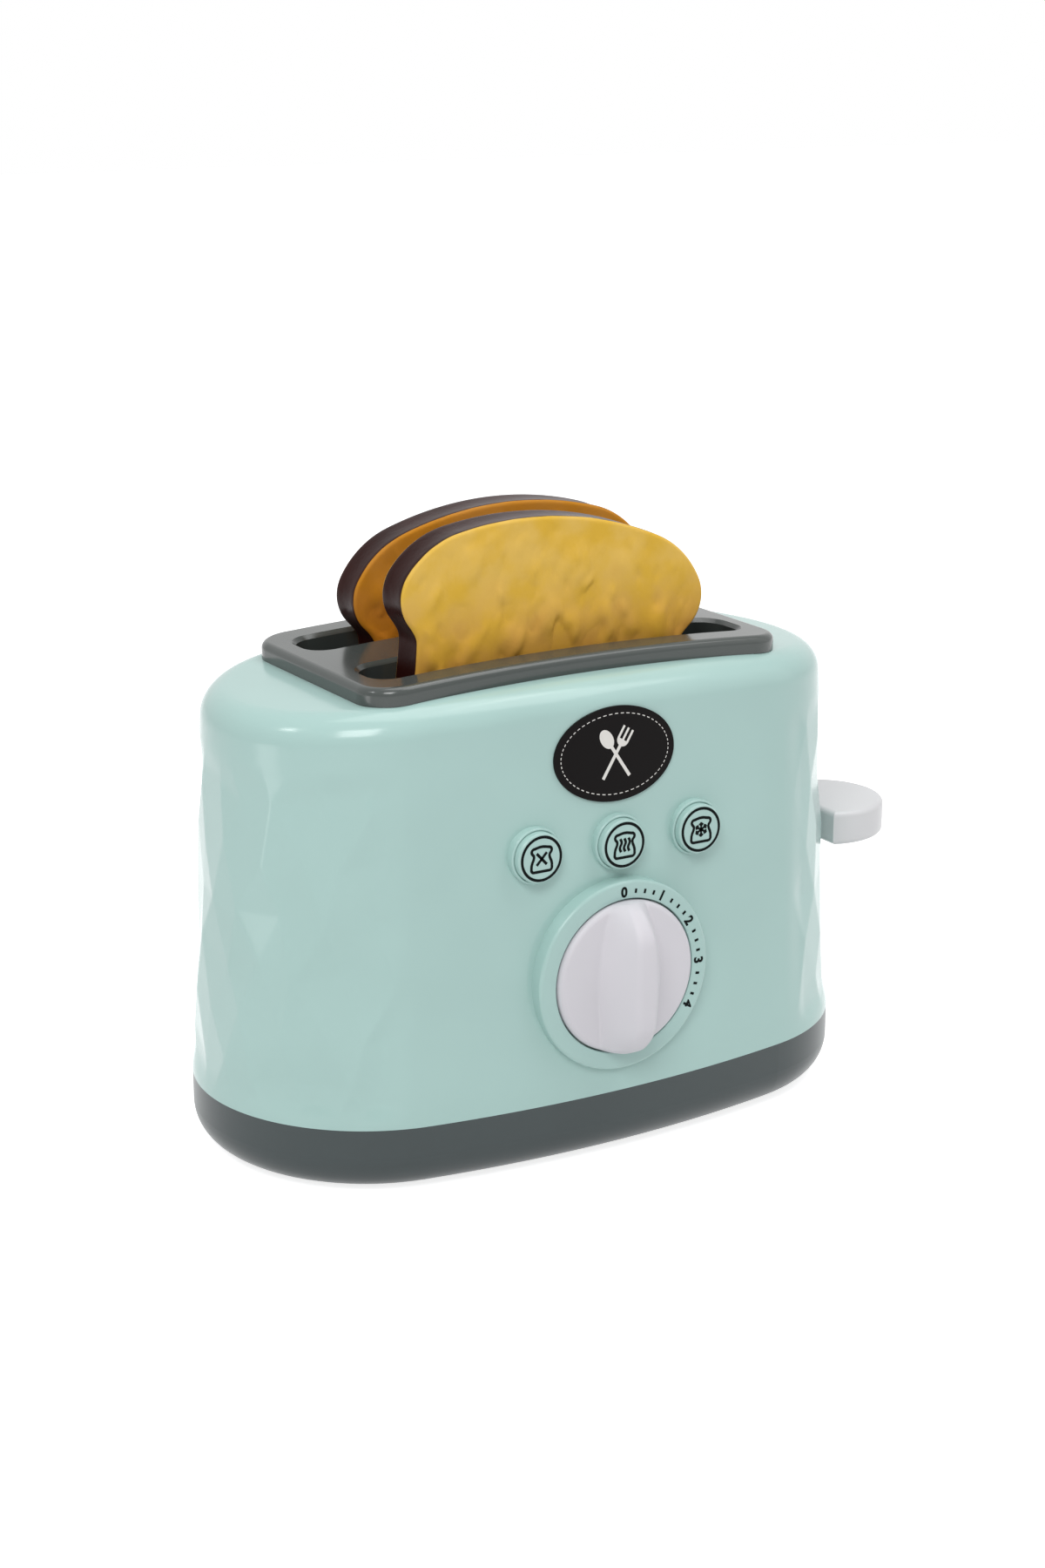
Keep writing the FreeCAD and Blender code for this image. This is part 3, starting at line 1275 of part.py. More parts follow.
# ---- Check and write -------------------------------------------------------------------------

doc.recompute()
for thing in doc.Objects:
    if "Invalid" in thing.State or "Error" in thing.State:
        raise RuntimeError(f"{thing.Name} did not recompute: {thing.State}")
for thing in NODES:
    if thing.Shape.isNull() or not thing.Shape.isValid():
        raise RuntimeError(f"{thing.Label} has no valid shape")
    if not thing.Shape.Solids:
        raise RuntimeError(f"{thing.Label} has no solid")

os.makedirs("parts", exist_ok=True)
for thing in NODES:
    thing.Shape.exportStep(f"parts/{thing.Label}.step")
    print(f"{thing.Label}: {len(thing.Shape.Solids)} solids, {thing.Shape.Volume:.0f} mm3")
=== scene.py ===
"""Finish of the toy toaster: glossy moulded housing, printed marks, painted toy bread.

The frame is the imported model's: +Z up, +X out through the lever end, -Y the dial side.
Sizes are in millimetres, and every new surface is worked out from them as whole numpy
arrays. A depth is a distance from the middle plane towards the dial side.
"""

import math

import bmesh
import bpy
import numpy as np
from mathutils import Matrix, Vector


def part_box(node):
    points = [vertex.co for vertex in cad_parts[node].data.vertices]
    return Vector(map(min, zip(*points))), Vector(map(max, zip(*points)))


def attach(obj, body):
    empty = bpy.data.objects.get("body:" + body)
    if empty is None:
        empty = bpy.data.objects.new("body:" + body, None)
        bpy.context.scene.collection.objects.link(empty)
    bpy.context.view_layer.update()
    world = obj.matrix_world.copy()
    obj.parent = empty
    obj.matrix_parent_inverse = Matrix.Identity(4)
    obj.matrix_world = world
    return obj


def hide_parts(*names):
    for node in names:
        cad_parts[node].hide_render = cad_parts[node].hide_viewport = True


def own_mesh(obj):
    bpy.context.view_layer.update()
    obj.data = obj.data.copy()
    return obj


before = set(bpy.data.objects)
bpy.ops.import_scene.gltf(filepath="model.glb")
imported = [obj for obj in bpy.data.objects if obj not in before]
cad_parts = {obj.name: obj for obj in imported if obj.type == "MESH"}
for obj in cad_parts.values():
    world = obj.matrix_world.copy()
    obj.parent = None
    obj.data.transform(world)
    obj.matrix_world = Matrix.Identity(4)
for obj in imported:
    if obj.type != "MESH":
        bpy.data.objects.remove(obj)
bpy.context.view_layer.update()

MM = 0.001
FULL_TURN = 2 * math.pi


def box_mm(node):
    """The low and the high corner of a model node's box, in millimetres."""
    return [np.array(corner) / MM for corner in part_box(node)]


# ---- Sizes of the housing ----

SEAM, CROWN = [corner[2] for corner in box_mm("body_shell")]
HALF_LENGTH, HALF_DEPTH = box_mm("base_tray")[1][:2]
BOW_RADIUS = 319.5
DOME_RADIUS = 786.0
SHOULDER_ROUND = 8.4
WALL = 2.5
DRAFT = math.tan(math.radians(3.0))
OPENING_HALF = np.array([57.9, 28.1])
LEVER_SLOT = ((82.0, -2.6, 23.7), (97.0, 2.6, 69.9))
BORE_END = 60.0
END_COLUMNS = 210
BOW_COLUMNS = 56
SHOULDER_TRIES = 12

FACET_FOOT = SEAM - 4.0
FACET_ROW = 14.6
FACET_ROWS = 9
FACET_SINK = 1.1
CELL_TURN = 0.27
FACETS_END = (1.10, 1.32)
FACETS_LOW = (SEAM + 1, SEAM + 7)
FACETS_HIGH = (CROWN - 24, CROWN - 16)

# ---- Sizes of the dial and the buttons ----

DIAL_HEIGHT = 51.3
DIAL_FACE = 53.95
RING_BACK = 48.5
RING_RADIUS = 25.9
RING_ROUND = 0.9
RECESS_FLOOR = 51.0
RECESS_RADIUS = 21.05
RECESS_LIP = 0.3
DIAL_BORE_START = RECESS_FLOOR - 0.5
SHAFT_GAP = 0.3

KNOB_RADIUS = 20.6
KNOB_BACK = 51.4
KNOB_BACK_RADIUS = 20.45
KNOB_FACE = 56.2
KNOB_CROWN = 1.2
RIM_ROUND = 1.5
FINE_RINGS_FROM = 0.86
KNOB_STEPS = 320
RIDGE_RISE = 9.2
RIDGE_FLAT = 1.1
RIDGE_ROUND = 3.2
RIDGE_LEAN = 33.0
RIDGE_FOOT = 9.8
RIDGE_ROOT = 0.8
RIDGE_LEVEL = 10.5
RIDGE_DROP = 6.6
RIDGE_NARROW_ABOVE = 0.30
RIDGE_NARROW_BELOW = 0.12
RIDGE_NARROW_AT = 16.0

BUTTONS = {"left": -1, "middle": 0, "right": 1}
BUTTON_HEIGHT = 86.8
BUTTON_PITCH = 24.4
BUTTON_RADIUS = 6.7
BUTTON_BORE = BUTTON_RADIUS + 0.08
BUTTON_BORE_DEPTH = 8.0
BUTTON_PROUD = 3.9
BUTTON_ROOT = 5.0
BUTTON_EDGE = 0.7
BUTTON_CROWN = 0.12
BUTTON_TRAVEL = 2.1
COLLAR_RADIUS = 7.45
COLLAR_PROUD = 1.9
COLLAR_ROOT = 2.0
COLLAR_ROUND = 0.4
COLLAR_LIP = 0.2

# ---- Sizes of the domes, the springs and the bread ----

DOME_WALL = 0.8
DOME_TAPER = 1.8
DOME_EDGE = 0.3
SPRING_TURNS = 7
SPRING_TURN_STEPS = 36
SPRING_RADIUS = 3.68
SPRING_WIRE = 0.5

SLOT_OFFSET = 18.0
SLOT_SIDE = (8.4, 8.8)
SLOT_END = (56.2, 56.6)
SLICE_HALF_WIDTH = 40.0
SLICE_THICKNESS = 11.0
SLICE_MIDDLE = np.array([0.0, -22.0])
OUTLINE_POINTS = 520
OUTLINE_SOFTEN = 1.0
CRUST_ROUND = 1.0
CRUST_HOLLOW = 0.25
FACE_RINGS = 83
LUMP_KINDS = ((3.1, 1.5, 130), (5.0, 0.7, 40), (1.7, 0.8, 240))
LUMP_TOP = 1.1
LUMP_LEVEL = 0.1
HOLLOW_FLOOR = -0.35
BROWN_EDGE = (112.0, 156.0)
BROWN_UNEVEN = 30.0
CRUST_EDGE = (4.70, 4.95)
CRUST_UNEVEN = 0.4

# ---- Sizes of the printed marks ----

PRINT_LIFT = 0.04
LINE = 0.76
ICON_RING = 5.72
ICON_SHARE = np.array([0.91, 0.89])
NUMBER_RADIUS = 23.05
NUMBER_START = -1.5
NUMBER_STEP = 30.4
NUMBER_SIZE = 3.74
NUMBER_SWELL = 0.16
NUMBERS = 5
DASH_START = 0.06
DASH_STEP = 0.235
DASH_HALF = 0.6
DASH_WIDTH = 0.68
BADGE_HEIGHT = 110.0
BADGE_HALF = np.array([18.2, 12.4])
BADGE_THICKNESS = 0.6
STITCHES = 58
STITCH_INSET = 1.9
STITCH_WIDTH = 0.22


# ---- Meshes ----


def add_object(name, data):
    """A new object in the scene that shows the data, at the origin."""
    thing = bpy.data.objects.new(name, data)
    bpy.context.scene.collection.objects.link(thing)
    return thing


def new_mesh(name, points, faces):
    """A mesh from points in millimetres and faces of corner numbers."""
    mesh = bpy.data.meshes.new(name)
    metres = (np.asarray(points, float).reshape(-1, 3) * MM).tolist()
    mesh.from_pydata(metres, [], [list(map(int, face)) for face in faces])
    return mesh


def mesh_piece(name, points, faces, body, smooth=True, edge_angle=None):
    """A mesh object from points in millimetres, riding on a body of the model."""
    mesh = new_mesh(name, points, faces)
    mesh.validate()
    mesh.update()
    mesh.polygons.foreach_set("use_smooth", [smooth] * len(mesh.polygons))
    if edge_angle is not None:
        mesh.set_sharp_from_angle(angle=math.radians(edge_angle))
    piece = add_object(name, mesh)
    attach(piece, body)
    return piece


def evaluated_mesh(thing):
    """A copy of an object's mesh with its modifiers, or a text's fill, worked out."""
    bpy.context.view_layer.update()
    graph = bpy.context.evaluated_depsgraph_get()
    return bpy.data.meshes.new_from_object(thing.evaluated_get(graph))


def weld(piece):
    """Merge doubles, such as a turned profile's points on its own axis, and face outwards."""
    distance = 1e-7
    work = bmesh.new()
    work.from_mesh(piece.data)
    bmesh.ops.remove_doubles(work, verts=work.verts, dist=distance)
    bmesh.ops.dissolve_degenerate(work, edges=work.edges, dist=distance)
    bmesh.ops.recalc_face_normals(work, faces=work.faces)
    work.to_mesh(piece.data)
    work.free()


def grid_faces(rows, columns, wrap_rows=False, wrap_columns=False):
    """Quads of a grid of rows x columns points, as an array of corner numbers."""
    row = np.arange(rows if wrap_rows else rows - 1)
    column = np.arange(columns if wrap_columns else columns - 1)
    r, c = np.meshgrid(row, column, indexing="ij")
    r2 = (r + 1) % rows
    c2 = (c + 1) % columns
    corners = [r * columns + c, r * columns + c2, r2 * columns + c2, r2 * columns + c]
    return np.stack([corner.ravel() for corner in corners], axis=1)


def tube_faces(rows, columns):
    """Quads between the rings of a tube, and one flat face over each end."""
    last = (rows - 1) * columns
    ends = [range(columns)[::-1], range(last, last + columns)]
    return [*grid_faces(rows, columns, wrap_columns=True), *ends]


def smooth_step(low, high, value):
    """0 below low, 1 above high, and a cubic blend between them."""
    t = np.clip((value - low) / (high - low), 0.0, 1.0)
    return t * t * (3 - 2 * t)


def on_circle(middle, radius, angle):
    """Points of a circle at angles in radians from the first axis."""
    return np.column_stack([
        middle[0] + radius * np.cos(angle), middle[1] + radius * np.sin(angle),
    ])


def arc(middle, radius, start, stop, steps):
    """Points along an arc, start and stop in degrees from the first axis."""
    return on_circle(middle, radius, np.radians(np.linspace(start, stop, steps)))


def circle(middle, radius, steps):
    """Points round a whole circle."""
    return on_circle(middle, radius, np.linspace(0, FULL_TURN, steps, endpoint=False))


def rotate(flat, turn):
    """Points (x, z) turned anticlockwise about 0, 0 by an angle in radians."""
    x, z = flat[:, 0], flat[:, 1]
    cos, sin = math.cos(turn), math.sin(turn)
    return np.column_stack([x * cos - z * sin, x * sin + z * cos])


def upright(flat, depth):
    """Points (x, z) put up at one depth along +Y, or at a depth for each."""
    return np.column_stack([flat[:, 0], np.broadcast_to(depth, len(flat)), flat[:, 1]])


def mirrored(right):
    """A half outline in reverse order on the other side of the middle line."""
    return right[::-1] * np.array([-1, 1])


def revolve(profile, centre, steps):
    """A ring or a disc: profile points (radius, depth) turned about a line along -Y."""
    profile = np.asarray(profile, float)
    angle = np.linspace(0, FULL_TURN, steps, endpoint=False)
    x = centre[0] + profile[:, :1] * np.cos(angle)
    z = centre[1] + profile[:, :1] * np.sin(angle)
    y = -np.repeat(profile[:, 1:], steps, axis=1)
    faces = grid_faces(len(profile), steps, wrap_rows=True, wrap_columns=True)
    return np.stack([x, y, z], axis=-1), faces


def turned_piece(name, profile, centre, body, steps=128):
    """A closed turned piece. Its profile runs anticlockwise with radius right and depth up."""
    points, faces = revolve(profile, centre, steps)
    piece = mesh_piece(name, points, faces, body, edge_angle=50)
    weld(piece)
    return piece


def cutter(name, points, faces):
    """A loose closed mesh to cut with."""
    tool = add_object(name, new_mesh(name, points, faces))
    weld(tool)
    return tool


def cylinder_cutter(name, centre, radius, near):
    """A round cutter along -Y from a depth to past the front."""
    profile = [(0, near), (radius, near), (radius, BORE_END), (0, BORE_END)]
    return cutter(name, *revolve(profile, centre, 160))


def box_cutter(name, low, high):
    """A box cutter between two corners."""
    x, y, z = zip(low, high)
    points = [(a, b, c) for a in x for b in y for c in z]
    faces = [(0, 1, 3, 2), (4, 6, 7, 5), (0, 4, 5, 1), (2, 3, 7, 6), (0, 2, 6, 4), (1, 5, 7, 3)]
    return cutter(name, points, faces)


def subtract(piece, tool):
    """Cut one closed mesh out of another and throw the tool away."""
    cut = piece.modifiers.new("cut", "BOOLEAN")
    cut.operation = "DIFFERENCE"
    cut.solver = "EXACT"
    cut.object = tool
    result = evaluated_mesh(piece)
    piece.modifiers.clear()
    piece.data = result
    bpy.data.objects.remove(tool)


# ---- Housing form ----

END_RADIUS = (2 * BOW_RADIUS * HALF_DEPTH - HALF_LENGTH**2 - HALF_DEPTH**2) / (
    2 * (BOW_RADIUS - HALF_LENGTH))
END_MIDDLE = HALF_LENGTH - END_RADIUS
BOW_MIDDLE = BOW_RADIUS - HALF_DEPTH
SWING = math.atan2(BOW_MIDDLE, END_MIDDLE)


def seam_outline(turn):
    """Seam points and outward normals at normal angles: end arcs tangent to bowed sides."""
    turn = np.mod(np.asarray(turn, float) + math.pi, FULL_TURN) - math.pi
    right = np.abs(turn) <= SWING
    left = np.abs(turn) >= math.pi - SWING
    radius = np.where(right | left, END_RADIUS, BOW_RADIUS)
    middle_x = np.where(right, END_MIDDLE, np.where(left, -END_MIDDLE, 0.0))
    middle_y = np.where(right | left, 0.0, -np.sign(turn) * BOW_MIDDLE)
    normal = np.stack([np.cos(turn), np.sin(turn)], axis=-1)
    return np.stack([middle_x, middle_y], axis=-1) + radius[..., None] * normal, normal


def wall_point(turn, z):
    """The drafted wall's outer point (x, y) at a normal angle and a height."""
    seam, normal = seam_outline(turn)
    return seam - (DRAFT * (z - SEAM))[..., None] * normal


def dome(x, inset=0.0):
    """Height of the roof at x: a shallow arch across the length."""
    return CROWN - inset - (DOME_RADIUS - np.sqrt(DOME_RADIUS**2 - x**2))


def skin_depth(x, z):
    """How far the bowed front stands out from the middle plane at x, z."""
    bow = BOW_RADIUS - DRAFT * (z - SEAM)
    return HALF_DEPTH - DRAFT * (z - SEAM) - (bow - np.sqrt(bow**2 - x**2))


def facet_triangles():
    """Flat facets over one end, as triangles of (normal angle, height) corners.

    The corners stand in staggered rows half a cell apart, each moved a little off its
    place by a fixed wave, so that no two facets are alike.
    """
    row, column = np.meshgrid(np.arange(FACET_ROWS), np.arange(-6, 6), indexing="ij")
    turn = (column + 0.5 * (row % 2) + 0.14 * np.sin(2.4 * row + 1.7 * column)) * CELL_TURN
    turn = np.clip(turn, -SWING, SWING)
    height = FACET_FOOT + (row + 0.16 * np.sin(1.3 * row - 2.9 * column + 1.0)) * FACET_ROW
    corner = np.stack([turn, height], axis=-1)
    facets = []
    for r in range(FACET_ROWS - 1):
        for c in range(corner.shape[1] - 1):
            low, low_next = corner[r, c], corner[r, c + 1]
            high, high_next = corner[r + 1, c], corner[r + 1, c + 1]
            if r % 2:
                facets += [(low, low_next, high_next), (high, high_next, low)]
            else:
                facets += [(low, low_next, high), (high, high_next, low_next)]
    return np.array(facets)


FACETS = facet_triangles()


def facet_shift(turn, z):
    """The move (x, y) that lays wall points on the flat triangles between facet corners.

    A point takes the same shares of its triangle's three corners in space as it has in
    (angle, height). A fixed wave sinks the corners a little. Towards the front, the seam
    and the shoulder the move fades to nothing.
    """
    side = np.sign(np.cos(turn))
    end_turn = np.where(side > 0, turn, np.mod(turn, FULL_TURN) - math.pi)
    a, b, c = (FACETS[:, corner, :, None] for corner in range(3))
    point = np.stack([end_turn, z])[None]

    def cross(p, q):
        return p[:, 0] * q[:, 1] - p[:, 1] * q[:, 0]

    area = cross(b - a, c - a)
    area = np.where(np.abs(area) < 1e-6, 1e-6, area)
    share_b = cross(point - a, c - a) / area
    share_c = cross(b - a, point - a) / area
    shares = np.stack([1 - share_b - share_c, share_b, share_c])
    inside = shares.min(axis=0) >= 0
    hit = inside.argmax(axis=0)
    shares = shares[:, hit, np.arange(len(z))]
    corner_turn, corner_z = FACETS[hit, :, 0], FACETS[hit, :, 1]
    sunk = FACET_SINK * (1 + np.sin(9.1 * corner_turn + 0.31 * corner_z)) / 2
    corners = wall_point(corner_turn, corner_z) - sunk[..., None] * seam_outline(corner_turn)[1]
    flat = np.einsum("kn,nkx->nx", shares, corners)
    fade = (1 - smooth_step(*FACETS_END, np.abs(end_turn))) * inside.any(axis=0)
    fade = fade * smooth_step(*FACETS_LOW, z) * (1 - smooth_step(*FACETS_HIGH, z))
    return (flat - wall_point(end_turn, z)) * (side * fade)[:, None]


def housing_skin(inset, wall_rows, shoulder_rows, roof_rows, faceted):
    """Rows of points from the seam up the wall, round the shoulder and over the roof.

    The columns stand at normal angles round the housing, closer together on the ends. The
    wall leans in by the draft. The shoulder is an arc that leaves the wall along its
    normal and meets the roof's slope; its middle is found by a few rounds of correction.
    The roof follows the dome in to the opening's edge.
    """
    end = np.linspace(-SWING, SWING, END_COLUMNS, endpoint=False)
    bow = np.linspace(SWING, math.pi - SWING, BOW_COLUMNS, endpoint=False)
    turn = np.concatenate([end, bow, end + math.pi, bow + math.pi])
    seam, normal = seam_outline(turn)
    rounding = SHOULDER_ROUND - inset
    lean = math.atan(DRAFT)
    rise, run = rounding * math.sin(lean), rounding * math.cos(lean)
    middle_z = np.full(len(turn), CROWN - inset - rounding)
    for _ in range(SHOULDER_TRIES):
        middle_in = inset + DRAFT * (middle_z + rise - SEAM) + run
        roof_x = (seam - middle_in[:, None] * normal)[:, 0]
        slope = np.arctan(roof_x * normal[:, 0] / DOME_RADIUS)
        reach = rounding * np.sin(slope)
        top_x = (seam - (middle_in - reach)[:, None] * normal)[:, 0]
        middle_z = dome(top_x, inset) - rounding * np.cos(slope)
    wall_top = middle_z + rise
    rows = []
    for share in np.linspace(0, 1, wall_rows):
        z = SEAM + share * (wall_top - SEAM)
        flat = wall_point(turn, z) - inset * normal
        if faceted:
            flat = flat + facet_shift(turn, z)
        rows.append(np.column_stack([flat, z]))
    for share in np.linspace(0, 1, shoulder_rows)[1:]:
        angle = lean + share * (math.pi / 2 - slope - lean)
        move = middle_in - rounding * np.cos(angle)
        z = middle_z + rounding * np.sin(angle)
        rows.append(np.column_stack([seam - move[:, None] * normal, z]))
    edge = rows[-1][:, :2]
    shrink = np.min(OPENING_HALF / np.maximum(np.abs(edge), 1e-6), axis=1)
    opening = edge * shrink[:, None]
    for share in np.linspace(0, 1, roof_rows)[1:]:
        flat = edge + share * (opening - edge)
        rows.append(np.column_stack([flat, dome(flat[:, 0], inset)]))
    return np.stack(rows)


def button_place(side):
    """A button's middle (x, z), and the depth of the skin there."""
    x = side * BUTTON_PITCH
    return (x, BUTTON_HEIGHT), skin_depth(x, BUTTON_HEIGHT)


def make_housing():
    """The shell: outer and inner skins joined at the seam and at the roof opening, then bored."""
    outer = housing_skin(0.0, 100, 14, 12, faceted=True)
    inner = housing_skin(WALL, 12, 8, 6, faceted=False)[::-1]
    points = np.concatenate([outer, inner])
    rows, columns = points.shape[:2]
    faces = grid_faces(rows, columns, wrap_rows=True, wrap_columns=True)
    shell = mesh_piece("housing_shell", points, faces, "housing")
    dial_middle = (0, DIAL_HEIGHT)
    subtract(shell, cylinder_cutter("dial_bore", dial_middle, RECESS_RADIUS, DIAL_BORE_START))
    for side in BUTTONS.values():
        centre, base = button_place(side)
        near = base - BUTTON_BORE_DEPTH
        subtract(shell, cylinder_cutter(f"button_bore_{side}", centre, BUTTON_BORE, near))
    subtract(shell, box_cutter("lever_slot", *LEVER_SLOT))
    shell.data.polygons.foreach_set("use_smooth", [True] * len(shell.data.polygons))
    shell.data.set_sharp_from_angle(angle=math.radians(38))
    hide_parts("body_shell")
    return shell


def make_ring():
    """The dial's raised ring: a flat face with rounded lips and a round recess for the knob."""
    shaft_low, shaft_high = box_mm("knob_shaft")
    bore = (shaft_high[0] - shaft_low[0]) / 2 + SHAFT_GAP
    outer_middle = (RING_RADIUS - RING_ROUND, DIAL_FACE - RING_ROUND)
    inner_middle = (RECESS_RADIUS + RECESS_LIP, DIAL_FACE - RECESS_LIP)
    profile = np.vstack([
        [(bore, RING_BACK), (RING_RADIUS, RING_BACK)],
        arc(outer_middle, RING_ROUND, 0, 90, 9),
        arc(inner_middle, RECESS_LIP, 90, 180, 6),
        [(RECESS_RADIUS, RECESS_FLOOR), (bore, RECESS_FLOOR)],
    ])
    return turned_piece("dial_ring", profile, (0, DIAL_HEIGHT), "housing", steps=192)


def make_collar(side):
    """A low round collar with a soft outer edge, bored for its button."""
    centre, base = button_place(side)
    face = base + COLLAR_PROUD
    profile = np.vstack([
        [(BUTTON_BORE, base - COLLAR_ROOT), (COLLAR_RADIUS, base - COLLAR_ROOT)],
        arc((COLLAR_RADIUS - COLLAR_ROUND, face - COLLAR_ROUND), COLLAR_ROUND, 0, 90, 7),
        arc((BUTTON_BORE + COLLAR_LIP, face - COLLAR_LIP), COLLAR_LIP, 90, 180, 4),
    ])
    return turned_piece(f"button_collar_{side + 1}", profile, centre, "housing")


def crown_rise(away):
    """Height of a cap's crown at a distance from its middle: a square law, 0 at the edge."""
    return BUTTON_CROWN * np.clip(1 - (away / (BUTTON_RADIUS - BUTTON_EDGE)) ** 2, 0, 1)


def make_cap(side, word):
    """A button cap with a softly rounded edge and a barely crowned face."""
    centre, base = button_place(side)
    face = base + BUTTON_PROUD
    flat_radius = BUTTON_RADIUS - BUTTON_EDGE
    crown = np.linspace(flat_radius, 0, 12)[1:]
    profile = np.vstack([
        [(0, base - BUTTON_ROOT), (BUTTON_RADIUS, base - BUTTON_ROOT)],
        arc((flat_radius, face - BUTTON_EDGE), BUTTON_EDGE, 0, 90, 9),
        np.column_stack([crown, face + crown_rise(crown)]),
    ])
    cap = turned_piece(f"button_cap_{word}", profile, centre, f"button_{word}")
    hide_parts(f"button_{word}")
    return cap


housing = make_housing()
ring = make_ring()
collars = [make_collar(side) for side in BUTTONS.values()]
caps = [make_cap(side, word) for word, side in BUTTONS.items()]


# ---- Dial knob ----


def ridge_profile(across):
    """Height share of the grip ridge at a distance from its middle.

    The section is a flat top, a round down to the steep flank, and a small fillet at the
    root; the flank is the straight line between the two arcs.
    """
    lean = math.radians(RIDGE_LEAN)
    top = np.linspace(math.pi / 2, lean, 12)
    root = np.linspace(-math.pi + lean, -math.pi / 2, 12)
    reach = np.concatenate([
        [0], RIDGE_FLAT + RIDGE_ROUND * np.cos(top), RIDGE_FOOT + RIDGE_ROOT * np.cos(root),
    ])
    rise = np.concatenate([
        [RIDGE_RISE], RIDGE_RISE - RIDGE_ROUND * (1 - np.sin(top)),
        RIDGE_ROOT * (1 + np.sin(root)),
    ])
    return np.interp(across, reach, rise / RIDGE_RISE)


def make_knob():
    """A round cap with a rounded rim, whose face carries an upright grip ridge.

    The ridge keeps its height over the middle, sinks by a square law towards both ends and
    narrows a little there, more so at the top. Its section is the ridge profile, scaled by
    that height. The wall tapers straight to a flat back.
    """
    coarse, fine = np.linspace(0, FINE_RINGS_FROM, 92), np.linspace(FINE_RINGS_FROM, 1, 34)
    angle = np.linspace(0, FULL_TURN, KNOB_STEPS, endpoint=False)
    rings = np.concatenate([coarse, fine[1:]]) * KNOB_RADIUS
    r, a = np.meshgrid(rings, angle, indexing="ij")
    x = r * np.cos(a)
    z = r * np.sin(a)
    rim_in = np.clip((r - (KNOB_RADIUS - RIM_ROUND)) / RIM_ROUND, 0, 1)
    rim_drop = RIM_ROUND * (1 - np.sqrt(1 - rim_in**2))
    face = KNOB_FACE - KNOB_CROWN * (r / KNOB_RADIUS) ** 2 - rim_drop
    past = np.clip((np.abs(z) - RIDGE_LEVEL) / (KNOB_RADIUS - RIDGE_LEVEL), 0, 1)
    height = RIDGE_RISE - RIDGE_DROP * past**2
    narrowing = np.where(z > 0, RIDGE_NARROW_ABOVE, RIDGE_NARROW_BELOW)
    narrow = 1 - narrowing * (z / RIDGE_NARROW_AT) ** 2
    depth = face + height * ridge_profile(np.abs(x) / narrow)
    top = np.stack([x, -depth, z + DIAL_HEIGHT], axis=-1)
    taper = KNOB_BACK_RADIUS / KNOB_RADIUS
    wall = upright(np.column_stack([taper * x[-1], taper * z[-1] + DIAL_HEIGHT]), -KNOB_BACK)
    back = np.broadcast_to([0.0, -KNOB_BACK, DIAL_HEIGHT], wall.shape)
    points = np.concatenate([top, wall[None], back[None]])
    faces = grid_faces(*points.shape[:2], wrap_columns=True)
    piece = mesh_piece("dial_knob", points, faces, "knob", edge_angle=60)
    weld(piece)
    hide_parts("timer_knob")
    return piece


knob = make_knob()


# ---- Rubber domes and return springs ----


def make_rubber_dome(word):
    """A hollow tapered dome of even wall on the plate."""
    low, high = box_mm(f"button_dome_{word}")
    foot, tip = -high[1], -low[1]
    centre = ((low[0] + high[0]) / 2, (low[2] + high[2]) / 2)
    wide = (high[0] - low[0]) / 2
    narrow = wide - DOME_TAPER
    profile = [
        (wide - DOME_WALL, foot), (wide, foot),
        (narrow + DOME_EDGE, tip - DOME_EDGE), (narrow, tip),
        (0, tip), (0, tip - DOME_WALL), (narrow - DOME_WALL, tip - DOME_WALL),
    ]
    piece = turned_piece(
        f"rubber_dome_{word}", profile, centre, "housing", steps=48)
    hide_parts(f"button_dome_{word}")
    anchor = (centre[0] * MM, -foot * MM, centre[1] * MM)
    keep = 1 - BUTTON_TRAVEL / (tip - foot)
    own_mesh(piece)
    return piece


def make_return_spring(word):
    """A round wire along a helix.

    The wire's section is a circle in the helix's outward direction and the one square to
    that and the helix.
    """
    low, high = box_mm(f"return_spring_{word}")
    middle_x = (low[0] + high[0]) / 2
    height = high[2] - low[2]
    share = np.linspace(0, 1, SPRING_TURNS * SPRING_TURN_STEPS + 1)
    turn = FULL_TURN * SPRING_TURNS * share
    out = np.column_stack([np.cos(turn), np.sin(turn), np.zeros_like(turn)])
    axis_z = low[2] + SPRING_WIRE + (height - 2 * SPRING_WIRE) * share
    axis = np.column_stack([np.full_like(turn, middle_x), np.zeros_like(turn), axis_z])
    middle = SPRING_RADIUS * out + axis
    along = np.gradient(middle, axis=0)
    along /= np.linalg.norm(along, axis=1)[:, None]
    across = np.cross(along, out)
    ring_turn = np.linspace(0, FULL_TURN, 12, endpoint=False)[None, :, None]
    section = np.cos(ring_turn) * out[:, None] + np.sin(ring_turn) * across[:, None]
    points = middle[:, None] + SPRING_WIRE * section
    faces = tube_faces(*points.shape[:2])
    piece = mesh_piece(f"coil_{word}", points, faces, "housing", edge_angle=50)
    weld(piece)
    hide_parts(f"return_spring_{word}")
    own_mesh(piece)
    return piece


domes = [make_rubber_dome(word) for word in BUTTONS]
springs = [make_return_spring(word) for word in ("left", "right")]


# ---- Toy bread ----


